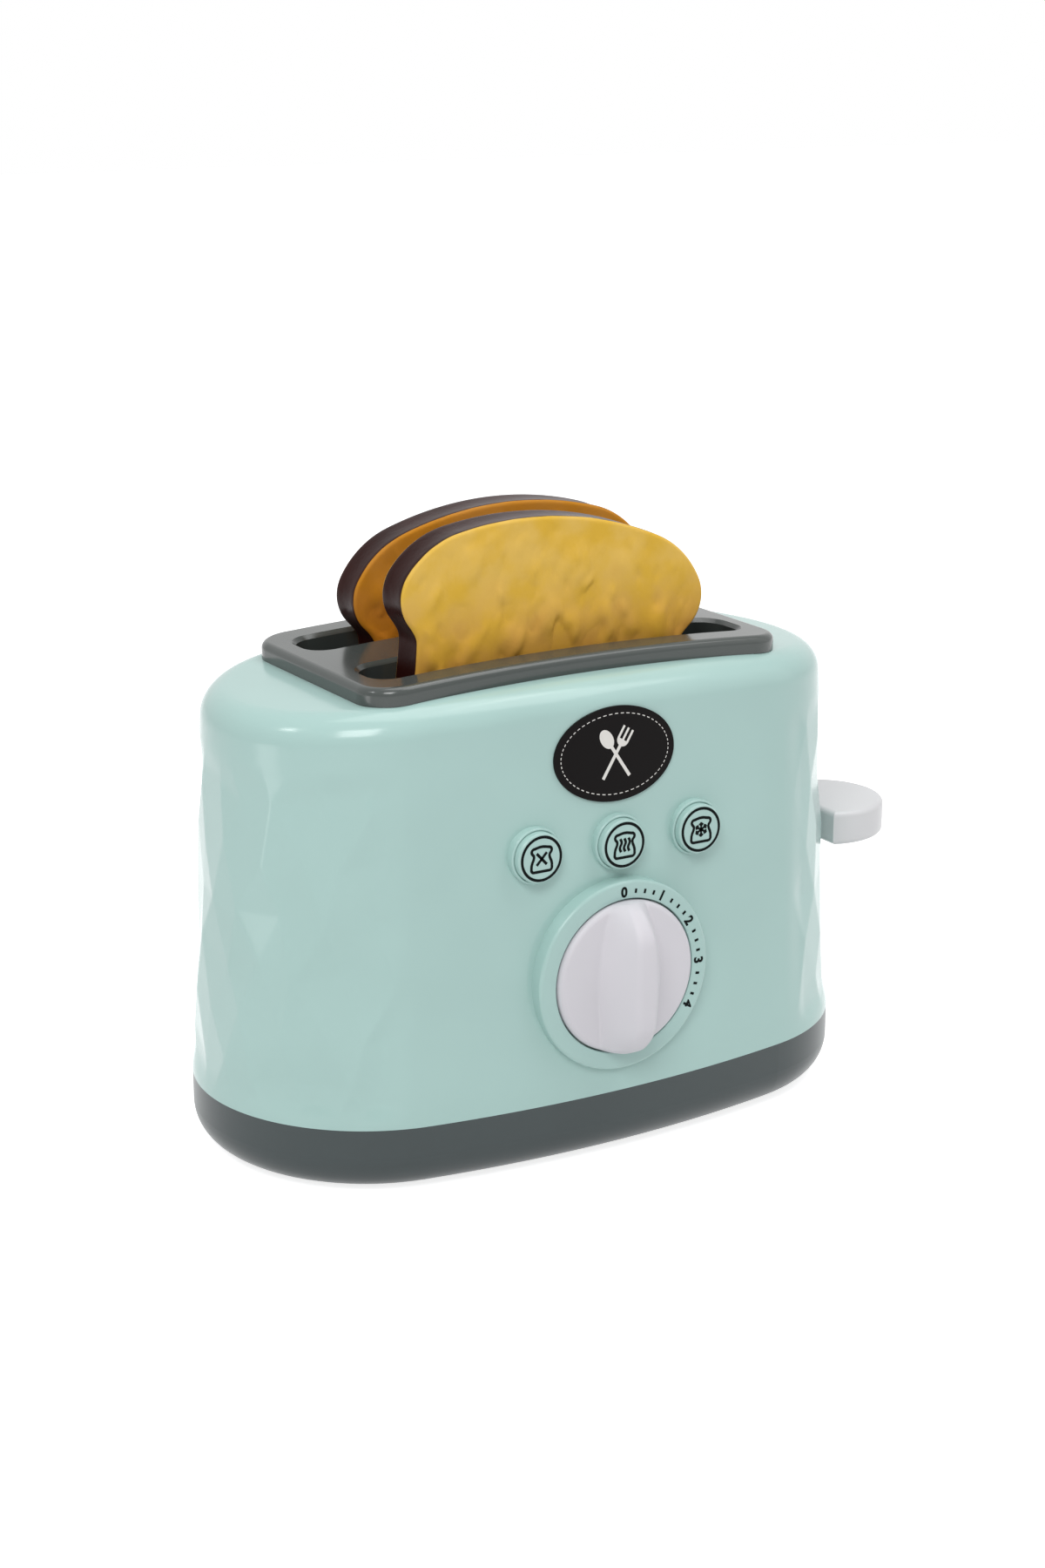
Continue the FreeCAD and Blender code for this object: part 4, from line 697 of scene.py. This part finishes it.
def bread_outline():
    """Closed outline of a slice, about the middle of its cheeks.

    An arched top, shoulder arcs, round cheeks, a waist and straight sides, all tangent, are
    walked at even steps and then softened with a periodic bell filter.
    """
    bulge, bulge_x, shoulder, arch, top = 10.6, 35.5, 26.0, 100.0, 21.4
    half, waist_x, waist_y, foot, corner = SLICE_HALF_WIDTH, 40.2, -11.0, 66.5, 5.0
    inner, outer, reach = arch - shoulder, shoulder - bulge, math.hypot(bulge_x, arch - top)
    spread = math.acos((inner**2 + reach**2 - outer**2) / (2 * inner * reach))
    join = math.atan2(arch - top, bulge_x) + spread
    shoulder_x, shoulder_y = inner * math.cos(join), top - arch + inner * math.sin(join)
    meet = math.atan2(-shoulder_y, bulge_x - shoulder_x)
    tuck = math.radians(-50)

    def sweep(middle, radius, start, stop):
        return on_circle(middle, radius, np.linspace(start, stop, 60))

    right = np.vstack([
        [(0, -foot)],
        sweep((half - corner, corner - foot), corner, -math.pi / 2, 0),
        [(half, waist_y - 6), (waist_x, waist_y)],
        sweep((bulge_x, 0), bulge, tuck, meet),
        sweep((shoulder_x, shoulder_y), shoulder, meet, join),
        sweep((0, top - arch), arch, join, math.pi / 2),
    ])
    closed = np.vstack([right, mirrored(right)[1:-1], right[:1]])
    lengths = np.linalg.norm(np.diff(closed, axis=0), axis=1)
    run = np.concatenate([[0], np.cumsum(lengths)])
    step = np.linspace(0, run[-1], OUTLINE_POINTS, endpoint=False)
    even = np.column_stack([np.interp(step, run, closed[:, axis]) for axis in (0, 1)])
    softness = OUTLINE_SOFTEN / (run[-1] / OUTLINE_POINTS)
    wave = np.fft.rfftfreq(OUTLINE_POINTS)
    bell = np.exp(-2 * (math.pi * wave * softness) ** 2)
    return np.fft.irfft(np.fft.rfft(even, axis=0) * bell[:, None], OUTLINE_POINTS, axis=0)


def lumps(x, z, seed):
    """Soft lumps of a toasted crumb: a fixed scatter of upright bells, higher lower down.

    Each kind has a size, a height and a count, and nearly half of its bells are hollows.
    The bells add up, and a smooth limit keeps lumps low and hollows shallow.
    """
    chance = np.random.default_rng(seed)
    total = np.zeros_like(x)
    for size, height, count in LUMP_KINDS:
        spots = np.column_stack([chance.uniform(-46, 46, count), chance.uniform(-66, 20, count)])
        rise = height * chance.uniform(0.35, 1.0, count)
        rise = rise * chance.choice([-0.8, 1.0], count, p=[0.45, 0.55])
        rise *= 0.35 + 0.65 * (1 - smooth_step(-6, 15, spots[:, 1]))
        narrow = chance.uniform(0.45, 0.9, count)
        lean = chance.uniform(-0.35, 0.35, count)
        for (px, pz), up, thin, tip in zip(spots, rise, narrow, lean):
            across = ((x - px) - tip * (z - pz)) / (size * thin)
            along = (z - pz) / (size * 1.15)
            total += up * np.exp(-(across**2) - along**2)
    return LUMP_TOP * np.tanh(np.maximum(total - LUMP_LEVEL, HOLLOW_FLOOR) / LUMP_TOP)


def make_slice(word, seed, tilt, shift):
    """A slice: the outline carried round a section with two flat faces and round edges.

    Rings shrink from the edge towards the middle on both faces, where the lumps are added
    with a fade near the edge. The crust between the edges is slightly hollow. The slice is
    then leaned by its tilt in its own plane, stood on its place and shifted.
    """
    low, high = box_mm(f"slice_{word}")
    half = SLICE_THICKNESS / 2
    flank = half - CRUST_ROUND
    outline = bread_outline()
    step = np.roll(outline, -1, axis=0) - np.roll(outline, 1, axis=0)
    normal = np.column_stack([step[:, 1], -step[:, 0]]) / np.linalg.norm(step, axis=1)[:, None]
    edge = outline - CRUST_ROUND * normal

    def face(side):
        found = []
        for share in np.linspace(0, 1, FACE_RINGS + 1)[:-1]:
            flat = edge + share * (SLICE_MIDDLE - edge)
            rise = lumps(flat[:, 0], flat[:, 1], seed + (side > 0))
            rise = rise * smooth_step(0.0, 0.09, share)
            found.append(upright(flat, side * (half + rise)))
        return found

    def round_edge(side, angles):
        return [
            upright(edge + CRUST_ROUND * math.cos(angle) * normal,
                    side * flank + CRUST_ROUND * math.sin(angle))
            for angle in np.radians(angles)
        ]

    crust = [
        upright(outline - normal * CRUST_HOLLOW * math.sin(math.pi * share),
                flank * (2 * share - 1))
        for share in np.linspace(0, 1, 9)[1:-1]
    ]
    rings = [
        *face(-1)[::-1], *round_edge(-1, np.linspace(-90, 0, 7)[1:]), *crust,
        *round_edge(1, np.linspace(0, 90, 7)[:-1]), *face(1),
    ]
    points = np.concatenate(rings)
    leaned = rotate(points[:, [0, 2]], -math.radians(tilt))
    leaned += (shift, low[2] - leaned[:, 1].min())
    placed = upright(leaned, points[:, 1] + (low[1] + high[1]) / 2)
    faces = tube_faces(len(rings), OUTLINE_POINTS)
    piece = mesh_piece(f"bread_{word}", placed, faces, f"slice_{word}")
    weld(piece)
    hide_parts(f"slice_{word}")
    return piece


bread_front = make_slice("front", 3, 6.5, -2.4)
bread_rear = make_slice("rear", 11, -1.8, 3.0)


# ---- Shader maths ----


class Socket:
    """A shader value that takes Python arithmetic: each operation adds its Math node."""

    def __init__(self, nodes, link):
        self.nodes = nodes
        self.link = link

    def _math(self, operation, *values):
        return self.nodes.add("ShaderNodeMath", {"operation": operation}, *values)

    def __add__(self, other):
        return self._math("ADD", self, other)

    __radd__ = __add__

    def __mul__(self, other):
        return self._math("MULTIPLY", self, other)

    __rmul__ = __mul__

    def __sub__(self, other):
        return self._math("SUBTRACT", self, other)

    def __rsub__(self, other):
        return self._math("SUBTRACT", other, self)

    def __abs__(self):
        return self._math("ABSOLUTE", self)

    def or_larger(self, other):
        """The larger of two values."""
        return self._math("MAXIMUM", self, other)

    def between(self, low, high):
        """0 at low, 1 at high, smooth between."""
        settings = {"interpolation_type": "SMOOTHSTEP"}
        return self.nodes.add("ShaderNodeMapRange", settings, self, low, high, 0.0, 1.0)

    def between_mm(self, low, high):
        """The same between two sizes in millimetres."""
        return self.between(low * MM, high * MM)

    def beside(self, name):
        """Another output of the same node."""
        return Socket(self.nodes, self.link.node.outputs[name])


class Nodes:
    """The node tree of a material or a world."""

    def __init__(self, owner):
        owner.use_nodes = True
        self.tree = owner.node_tree

    def put(self, socket, value):
        """Set a socket to a number, a colour or a link."""
        if isinstance(value, Socket):
            self.tree.links.new(value.link, socket)
        elif isinstance(value, tuple) and socket.type == "RGBA":
            socket.default_value = (*value, 1.0)[:4]
        else:
            socket.default_value = value

    def add(self, kind, settings, *values, output=0, numbered=None, **named):
        """Add a node, set its options first, then the values or links of its sockets.

        Values go to the first sockets in turn, or to sockets by their number or name.
        """
        node = self.tree.nodes.new(kind)
        for key, value in settings.items():
            setattr(node, key, value)
        given = dict(enumerate(values))
        given.update(numbered or {})
        given.update({key.replace("_", " "): value for key, value in named.items()})
        for key, value in given.items():
            self.put(node.inputs[key], value)
        return Socket(self, node.outputs[output])


class Shader(Nodes):
    """One material's node tree, with a Principled surface."""

    def __init__(self, name, color, roughness, metallic=0.0, specular=0.5):
        self.material = bpy.data.materials.new(name)
        super().__init__(self.material)
        self.surface = self.tree.nodes["Principled BSDF"]
        self.finish("Base Color", color)
        self.finish("Roughness", roughness)
        self.finish("Metallic", metallic)
        self.finish("Specular IOR Level", specular)

    def finish(self, name, value):
        """Set one socket of the surface."""
        self.put(self.surface.inputs[name], value)

    def place(self):
        """Object coordinates."""
        return self.add("ShaderNodeTexCoord", {}, output="Object")

    def noise(self, scale, detail=2.0, stretch=(1.0, 1.0, 1.0)):
        """Noise over object coordinates, scale in waves per metre."""
        where = self.add("ShaderNodeMapping", {}, self.place(), Scale=stretch)
        return self.add("ShaderNodeTexNoise", {}, Vector=where, Scale=scale, Detail=detail)

    def axis(self, name):
        """One object coordinate in metres."""
        return self.add("ShaderNodeSeparateXYZ", {}, self.place(), output=name)

    def blend(self, share, first, second):
        """A colour between two, by a share."""
        sockets = {0: share, 6: first, 7: second}
        return self.add("ShaderNodeMix", {"data_type": "RGBA"}, numbered=sockets, output=2)

    def bump(self, height, distance, strength):
        """Let a height, of the given distance in metres, tilt the surface's normal."""
        self.finish("Normal", self.add(
            "ShaderNodeBump", {}, Height=height, Distance=distance, Strength=strength))


# ---- Materials ----


def tint(color, factor):
    """A colour made lighter or darker."""
    return tuple(min(1.0, channel * factor) for channel in color)


def moulded(name, color, roughness, specular=0.5, painted_slot_shade=None):
    """Glossy injection moulding: slow sink marks and a slightly uneven polish.

    With a slot share, the colour sinks to that share on the walls inside the bread slots: painted
    shade for the shadow there.
    """
    shader = Shader(name, color, roughness, specular=specular)
    flow = shader.noise(24.0)
    shade = shader.blend(flow.between(0.3, 0.7), tint(color, 0.98), tint(color, 1.02))
    if painted_slot_shade:
        # Painted shade: the colour darkens on the walls inside the bread slots, where shadow
        # falls.
        beyond_side = abs(abs(shader.axis("Y")) - SLOT_OFFSET * MM).between_mm(*SLOT_SIDE)
        beyond_end = abs(shader.axis("X")).between_mm(*SLOT_END)
        inside = (1.0 - beyond_side) * (1.0 - beyond_end)
        shade = shader.blend(inside, shade, tint(color, painted_slot_shade))
    shader.finish("Base Color", shade)
    shader.finish("Roughness", roughness + 0.05 * flow)
    shader.bump(shader.noise(30.0, detail=1.0), distance=0.0006, strength=0.35)
    return shader.material


def steel(name, color, roughness):
    """Turned or drawn steel with fine marks round it."""
    shader = Shader(name, color, roughness, metallic=1.0)
    marks = shader.noise(2500.0, stretch=(1.0, 1.0, 0.2))
    shader.finish("Roughness", roughness + 0.15 * marks)
    shade = shader.blend(marks.between(0.3, 0.7), tint(color, 0.88), tint(color, 1.06))
    shader.finish("Base Color", shade)
    shader.bump(marks, distance=0.0001, strength=0.2)
    return shader.material


def toast_paint(name, middle_y, painted_shade_share):
    """Sprayed bread: yellow faces and a dark crust round them.

    The faces turn brown below a soft, uneven line. A share of painted shade darkens them towards
    orange brown all over, for a slice that stands in the shade of another.
    Points beyond the crust's half width, from the slice's middle plane, are face.
    """
    shader = Shader(name, TOAST_YELLOW, 0.42, specular=0.06)
    away = abs(shader.axis("Y") - middle_y)
    mottle = shader.noise(90.0, detail=4.0)
    spray = shader.axis("Z") + BROWN_UNEVEN * MM * (mottle - 0.5)
    low = 1.0 - spray.between_mm(*BROWN_EDGE)
    face = shader.blend(mottle.between(0.35, 0.7), TOAST_YELLOW, TOAST_DEEP)
    # Painted shade: the given share darkens the whole face towards orange brown; the brown below
    # the line is the toy's own paint.
    face = shader.blend(low * (0.78 - 0.78 * painted_shade_share) + painted_shade_share, face, TOAST_ORANGE)
    uneven = CRUST_UNEVEN * MM * (shader.noise(160.0, detail=3.0) - 0.5)
    crust_share = 1.0 - (away + uneven).between_mm(*CRUST_EDGE)
    crust_mottle = shader.noise(60.0, detail=3.0).between(0.3, 0.75)
    crust = shader.blend(crust_mottle, CRUST, tint(CRUST, 1.5))
    shader.finish("Base Color", shader.blend(crust_share, face, crust))
    shader.finish("Roughness", 0.44 + 0.10 * mottle - 0.20 * crust_share)
    shader.bump(shader.noise(420.0, detail=3.0), distance=0.0003, strength=0.25)
    return shader.material


MINT = (0.388, 0.565, 0.530)
BASE_GREY = (0.053, 0.066, 0.068)
BEZEL_GREY = (0.056, 0.065, 0.061)
KNOB_WHITE = (0.635, 0.615, 0.650)
LEVER_WHITE = (0.655, 0.650, 0.660)
INNER_GREY = (0.020, 0.021, 0.021)
FOOT_BLACK = (0.03, 0.03, 0.03)
DOME_GREY = (0.55, 0.54, 0.50)
BADGE_BLACK = (0.005, 0.004, 0.004)
STEEL = (0.62, 0.62, 0.62)
TOAST_YELLOW = (0.755, 0.485, 0.110)
TOAST_DEEP = (0.710, 0.430, 0.052)
TOAST_ORANGE = (0.430, 0.115, 0.001)
CRUST = (0.020, 0.004, 0.003)
INK = (0.004, 0.006, 0.006)
CREAM = (0.72, 0.70, 0.66)
FLOOR_GREY = (0.80, 0.80, 0.80)
FLOOR_GLOW = 0.78
SKY_TINT = (0.95, 0.97, 1.0)
SKY_STRENGTH = 0.34
WHITE = (1.0, 1.0, 1.0)

mint = moulded("mint_gloss", MINT, 0.14, specular=0.36)
base_grey = moulded("base_grey_gloss", BASE_GREY, 0.28, specular=0.28)
# The bezel carries painted shade on the walls inside its bread slots.
bezel_grey = moulded("bezel_grey_gloss", BEZEL_GREY, 0.15, painted_slot_shade=0.8)
knob_white = moulded("knob_white_gloss", KNOB_WHITE, 0.50)
lever_white = moulded("lever_white_gloss", LEVER_WHITE, 0.30)
inner_dark = moulded("inner_dark_matt", INNER_GREY, 0.5, specular=0.3)
foot_rubber = moulded("foot_rubber", FOOT_BLACK, 0.7)
dome_rubber = moulded("dome_rubber", DOME_GREY, 0.6)
badge_black = moulded("badge_black", BADGE_BLACK, 0.45, specular=0.08)
steel_bright = steel("steel_bright", STEEL, 0.28)
ink = moulded("printed_ink", INK, 0.50, specular=0.05)
cream_ink = moulded("cream_ink", CREAM, 0.45)

NODE_FINISH = (
    (base_grey, ("base_tray",)),
    (foot_rubber, ("foot_pads",)),
    (bezel_grey, ("top_bezel",)),
    (badge_black, ("badge_plate",)),
    (lever_white, ("lever_arm", "lever_paddle")),
    (inner_dark, ("timer_case", "knob_shaft", "button_plate", "carriage")),
    (steel_bright, ("base_screws", "inner_screws", "lever_screws", "guide_rods")),
)


def dress(piece, material):
    """Give a piece or a model node its one material."""
    piece.data.materials.clear()
    piece.data.materials.append(material)


for node_finish, node_names in NODE_FINISH:
    for node_name in node_names:
        dress(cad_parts[node_name], node_finish)
for mint_piece in [housing, ring, *collars, *caps]:
    dress(mint_piece, mint)
for rubber_dome in domes:
    dress(rubber_dome, dome_rubber)
for coil in springs:
    dress(coil, steel_bright)
dress(knob, knob_white)
dress(bread_front, toast_paint("toast_front_paint", -SLOT_OFFSET * MM, 0.0))
# The rear slice's faces get painted shade for the shade they lie in behind the front slice.
dress(bread_rear, toast_paint("toast_rear_paint", SLOT_OFFSET * MM, 0.7))


# ---- Printed marks ----
# A drawing is an array of (x, z) points and a list of faces.


def ribbon(path, width, closed=False):
    """A flat line of even width along a path, as two rows of points with quads between."""
    path = np.asarray(path, float)
    if closed:
        step = np.roll(path, -1, axis=0) - np.roll(path, 1, axis=0)
    else:
        step = np.gradient(path, axis=0)
    step /= np.linalg.norm(step, axis=1)[:, None]
    side = np.column_stack([-step[:, 1], step[:, 0]]) * width / 2
    count = len(path)
    last = count if closed else count - 1
    faces = [(i, (i + 1) % count, (i + 1) % count + count, i + count) for i in range(last)]
    return np.concatenate([path + side, path - side]), faces


def filled(outline):
    """A drawing of one face inside an outline."""
    return outline, [tuple(range(len(outline)))]


def heading(turn):
    """The direction at an angle in degrees from the x axis."""
    return np.array([math.cos(math.radians(turn)), math.sin(math.radians(turn))])


def face_front(mark):
    """Turn every face of a flat print towards the dial side."""
    work = bmesh.new()
    work.from_mesh(mark.data)
    work.normal_update()
    wrong = [face for face in work.faces if face.normal.y > 0]
    bmesh.ops.reverse_faces(work, faces=wrong)
    work.to_mesh(mark.data)
    work.free()


def printed(name, drawings, depth_at, body, colour):
    """Drawings laid on a surface as one piece: each point gets the surface's depth and a hair."""
    points = np.vstack([drawing_points for drawing_points, _ in drawings])
    faces = []
    offset = 0
    for drawing_points, drawing_faces in drawings:
        faces += [np.array(face) + offset for face in drawing_faces]
        offset += len(drawing_points)
    depth = depth_at(points[:, 0], points[:, 1]) + PRINT_LIFT
    mark = mesh_piece(name, upright(points, -depth), faces, body, smooth=False)
    dress(mark, colour)
    face_front(mark)


def bread_icon(centre):
    """Outline of a slice: round cheeks, a narrow waist and sides that spread to the foot."""
    right = np.vstack([
        arc((2.5, -2.9), 0.85, -90, 0, 8),
        [(3.30, -1.7), (3.05, -0.8), (2.65, 0.1), (2.50, 0.8), (2.62, 1.3)],
        arc((2.35, 2.35), 0.90, -40, 95, 12),
        [(1.2, 3.50), (0.5, 3.62)],
    ])
    return np.vstack([right, mirrored(right)]) * ICON_SHARE + centre


def stop_sign(centre):
    """A small diagonal cross."""
    arms = [np.array([1.5, 1.6]), np.array([1.5, -1.6])]
    return [ribbon([centre - arm, centre + arm], LINE) for arm in arms]


def heat_waves(centre):
    """Three upright wavy lines, each a sine wave across its height."""
    z = np.linspace(-1.8, 1.8, 24)
    wave = 0.26 * np.sin(z * 2.1)
    return [
        ribbon(np.column_stack([shift + wave, z]) + centre, LINE) for shift in (-1.25, 0.0, 1.25)
    ]


def snowflake(centre):
    """Three crossed arms, each with two small forks at both ends."""
    arm_half, fork_at, fork_length = 2.0, 1.05, 0.85
    marks = []
    for turn in (90, 30, -30):
        arm = arm_half * heading(turn)
        marks.append(ribbon([centre - arm, centre + arm], LINE * 0.80))
        for end_turn in (turn + 180, turn):
            root = centre + fork_at * heading(end_turn)
            for fork in (-45, 45):
                tip = root + fork_length * heading(end_turn + fork)
                marks.append(ribbon([root, tip], LINE * 0.70))
    return marks


def button_print(word, sign):
    """A ring and a slice of bread with its sign, printed on a button's face."""
    side = BUTTONS[word]
    centre, base = button_place(side)
    drawings = [
        ribbon(circle(centre, ICON_RING, 72), LINE, closed=True),
        ribbon(bread_icon(centre), LINE, closed=True),
        *sign(np.array(centre)),
    ]

    def cap_face(x, z):
        return base + BUTTON_PROUD + crown_rise(np.hypot(x - centre[0], z - centre[1]))

    printed(f"icon_{word}", drawings, cap_face, f"button_{word}", ink)


def dial_place(clock, radius):
    """The point at a clock angle in degrees and a radius from the dial's middle."""
    return radius * heading(90 - clock) + (0, DIAL_HEIGHT)


def numeral(text, clock):
    """A numeral whose top points away from the dial's middle, at a clock angle."""
    curve = bpy.data.curves.new(f"number_{text}", "FONT")
    curve.body = text
    curve.size = NUMBER_SIZE * MM
    curve.offset = NUMBER_SWELL * MM
    curve.align_x = "CENTER"
    curve.align_y = "CENTER"
    shape = add_object(f"number_curve_{text}", curve)
    mesh = evaluated_mesh(shape)
    bpy.data.objects.remove(shape)
    points = np.empty(len(mesh.vertices) * 3)
    mesh.vertices.foreach_get("co", points)
    flat = points.reshape(-1, 3)[:, :2] / MM
    flat = flat - (flat.max(axis=0) + flat.min(axis=0)) / 2
    faces = [tuple(face.vertices) for face in mesh.polygons]
    return rotate(flat, math.radians(-clock)) + dial_place(clock, NUMBER_RADIUS), faces


def dial_print():
    """The numerals with three short radial dashes between neighbours."""
    drawings = []
    for value in range(NUMBERS):
        drawings.append(numeral(str(value), NUMBER_START + value * NUMBER_STEP))
        if value == NUMBERS - 1:
            break
        for part in (1, 2, 3):
            clock = NUMBER_START + (value + DASH_START + part * DASH_STEP) * NUMBER_STEP
            ends = [dial_place(clock, NUMBER_RADIUS + move) for move in (-DASH_HALF, DASH_HALF)]
            drawings.append(ribbon(ends, DASH_WIDTH))

    def ring_face(x, z):
        return np.full_like(x, DIAL_FACE)

    printed("dial_numbers", drawings, ring_face, "housing", ink)


def handle(centre, lean):
    """The straight handle of a spoon or a fork."""
    return ribbon([centre - 7.4 * lean, centre + 2.6 * lean], 0.9)


def head(middle, lean, across, half_width, half_length, rim):
    """A filled oval or a part of one: points of a unit circle, stretched along the lean."""
    return filled(middle + rim[:, :1] * half_width * across + rim[:, 1:] * half_length * lean)


def spoon_marks(centre, lean, across):
    """A spoon along the lean: a handle and an oval bowl."""
    bowl = head(centre + 4.9 * lean, lean, across, 1.85, 2.8, circle((0, 0), 1.0, 28))
    return [handle(centre, lean), bowl]


def fork_marks(centre, lean, across):
    """A fork along the lean: a handle, three prongs and a half oval."""
    roots = [centre + 4.0 * lean + aside * across for aside in (-1.5, 0.0, 1.5)]
    prongs = [ribbon([root, root + 3.5 * lean], 0.66) for root in roots]
    base = head(centre + 4.1 * lean, lean, across, 1.83, 1.8, arc((0, 0), 1.0, 180, 360, 16))
    return [handle(centre, lean), *prongs, base]


def badge_print():
    """A dashed stitch line inside the oval, and a plain crossed spoon and fork."""
    centre = np.array([0.0, BADGE_HEIGHT])
    drawings = []
    for index in range(STITCHES):
        turn = FULL_TURN / STITCHES * (index + np.linspace(0, 0.55, 5))
        oval = np.column_stack([np.cos(turn), np.sin(turn)]) * (BADGE_HALF - STITCH_INSET)
        drawings.append(ribbon(oval + centre, STITCH_WIDTH))
    for turn, tool in ((90 + 33, spoon_marks), (90 - 33, fork_marks)):
        drawings += tool(centre, heading(turn), heading(turn - 90))

    def badge_face(x, z):
        return skin_depth(x, z) + BADGE_THICKNESS

    printed("badge_marks", drawings, badge_face, "housing", cream_ink)


button_print("left", stop_sign)
button_print("middle", heat_waves)
button_print("right", snowflake)
dial_print()
badge_print()


# ---- Floor, light and camera ----


def seen_directly(nodes):
    """1 where the camera, a gloss or a clear part looks, 0 for light that falls on things."""
    camera = nodes.add("ShaderNodeLightPath", {}, output="Is Camera Ray")
    seen = camera.or_larger(camera.beside("Is Glossy Ray"))
    return seen.or_larger(camera.beside("Is Transmission Ray"))


def floor_white():
    """A pale floor. A glow lifts what is seen of it to white, all but the object's shadow."""
    shader = Shader("floor_white", FLOOR_GREY, 0.7)
    plain = Socket(shader, shader.surface.outputs["BSDF"])
    glow = shader.add("ShaderNodeEmission", {}, WHITE, FLOOR_GLOW)
    lifted = shader.add("ShaderNodeAddShader", {}, plain, glow)
    either = shader.add("ShaderNodeMixShader", {}, seen_directly(shader), plain, lifted)
    shader.put(shader.tree.nodes["Material Output"].inputs["Surface"], either)
    return shader.material


def make_floor():
    """A wide level floor just under the feet."""
    half_size, level, count = 4000, -0.02, 9
    reach = np.linspace(-half_size, half_size, count)
    points = [(x, y, level) for y in reach for x in reach]
    floor = add_object("floor", new_mesh("floor", points, grid_faces(count, count)))
    dress(floor, floor_white())


def white_world():
    """Soft even light, and plain white where the camera, a gloss or a clear part looks."""
    world = bpy.data.worlds.new("studio")
    bpy.context.scene.world = world
    nodes = Nodes(world)
    light = nodes.tree.nodes["Background"]
    nodes.put(light.inputs["Color"], SKY_TINT)
    nodes.put(light.inputs["Strength"], SKY_STRENGTH)
    seen = nodes.add("ShaderNodeBackground", {}, WHITE)
    lit = Socket(nodes, light.outputs["Background"])
    either = nodes.add("ShaderNodeMixShader", {}, seen_directly(nodes), lit, seen)
    nodes.put(nodes.tree.nodes["World Output"].inputs["Surface"], either)


def aim(thing, place, way):
    """Put a lamp or a camera at a place in metres and let it look along a direction."""
    thing.location = place
    thing.rotation_euler = way.to_track_quat("-Z", "Y").to_euler()


def soft_lamp(name, place, size, power):
    """A square area lamp that looks at the middle of the part."""
    lamp = bpy.data.lights.new(name, "AREA")
    lamp.size = size
    lamp.energy = power
    aim(add_object(name, lamp), place, Vector((0.0, 0.0, 0.06)) - Vector(place))


def make_camera():
    """The camera at the viewing angle that fits the housing's outline."""
    azimuth, elevation = math.radians(-30.9), math.radians(16.34)
    target = Vector((0.0011, 0.0, 0.0896))
    distance = 0.7292
    level = math.cos(elevation)
    back = Vector((math.sin(azimuth) * level, -math.cos(azimuth) * level, math.sin(elevation)))
    lens = bpy.data.cameras.new("camera")
    lens.lens = 61.29
    lens.sensor_width = 36.0
    camera = add_object("camera", lens)
    aim(camera, target + back * distance, -back)
    bpy.context.scene.camera = camera


make_floor()
white_world()
soft_lamp("key_left", (-0.62, -0.74, 0.95), 0.5, 7.2)
soft_lamp("card_left", (-0.34, 0.02, 0.060), 0.08, 0.040)
soft_lamp("fill_right", (0.85, -0.55, 0.50), 0.8, 0.9)
soft_lamp("top_soft", (0.10, 0.05, 1.1), 0.6, 2.8)
soft_lamp("top_front", (0.38, -0.32, 0.95), 0.5, 2.2)
soft_lamp("spark_left", (-0.75, 0.10, 0.80), 0.14, 0.8)
make_camera()
bpy.context.scene.view_settings.view_transform = "Standard"
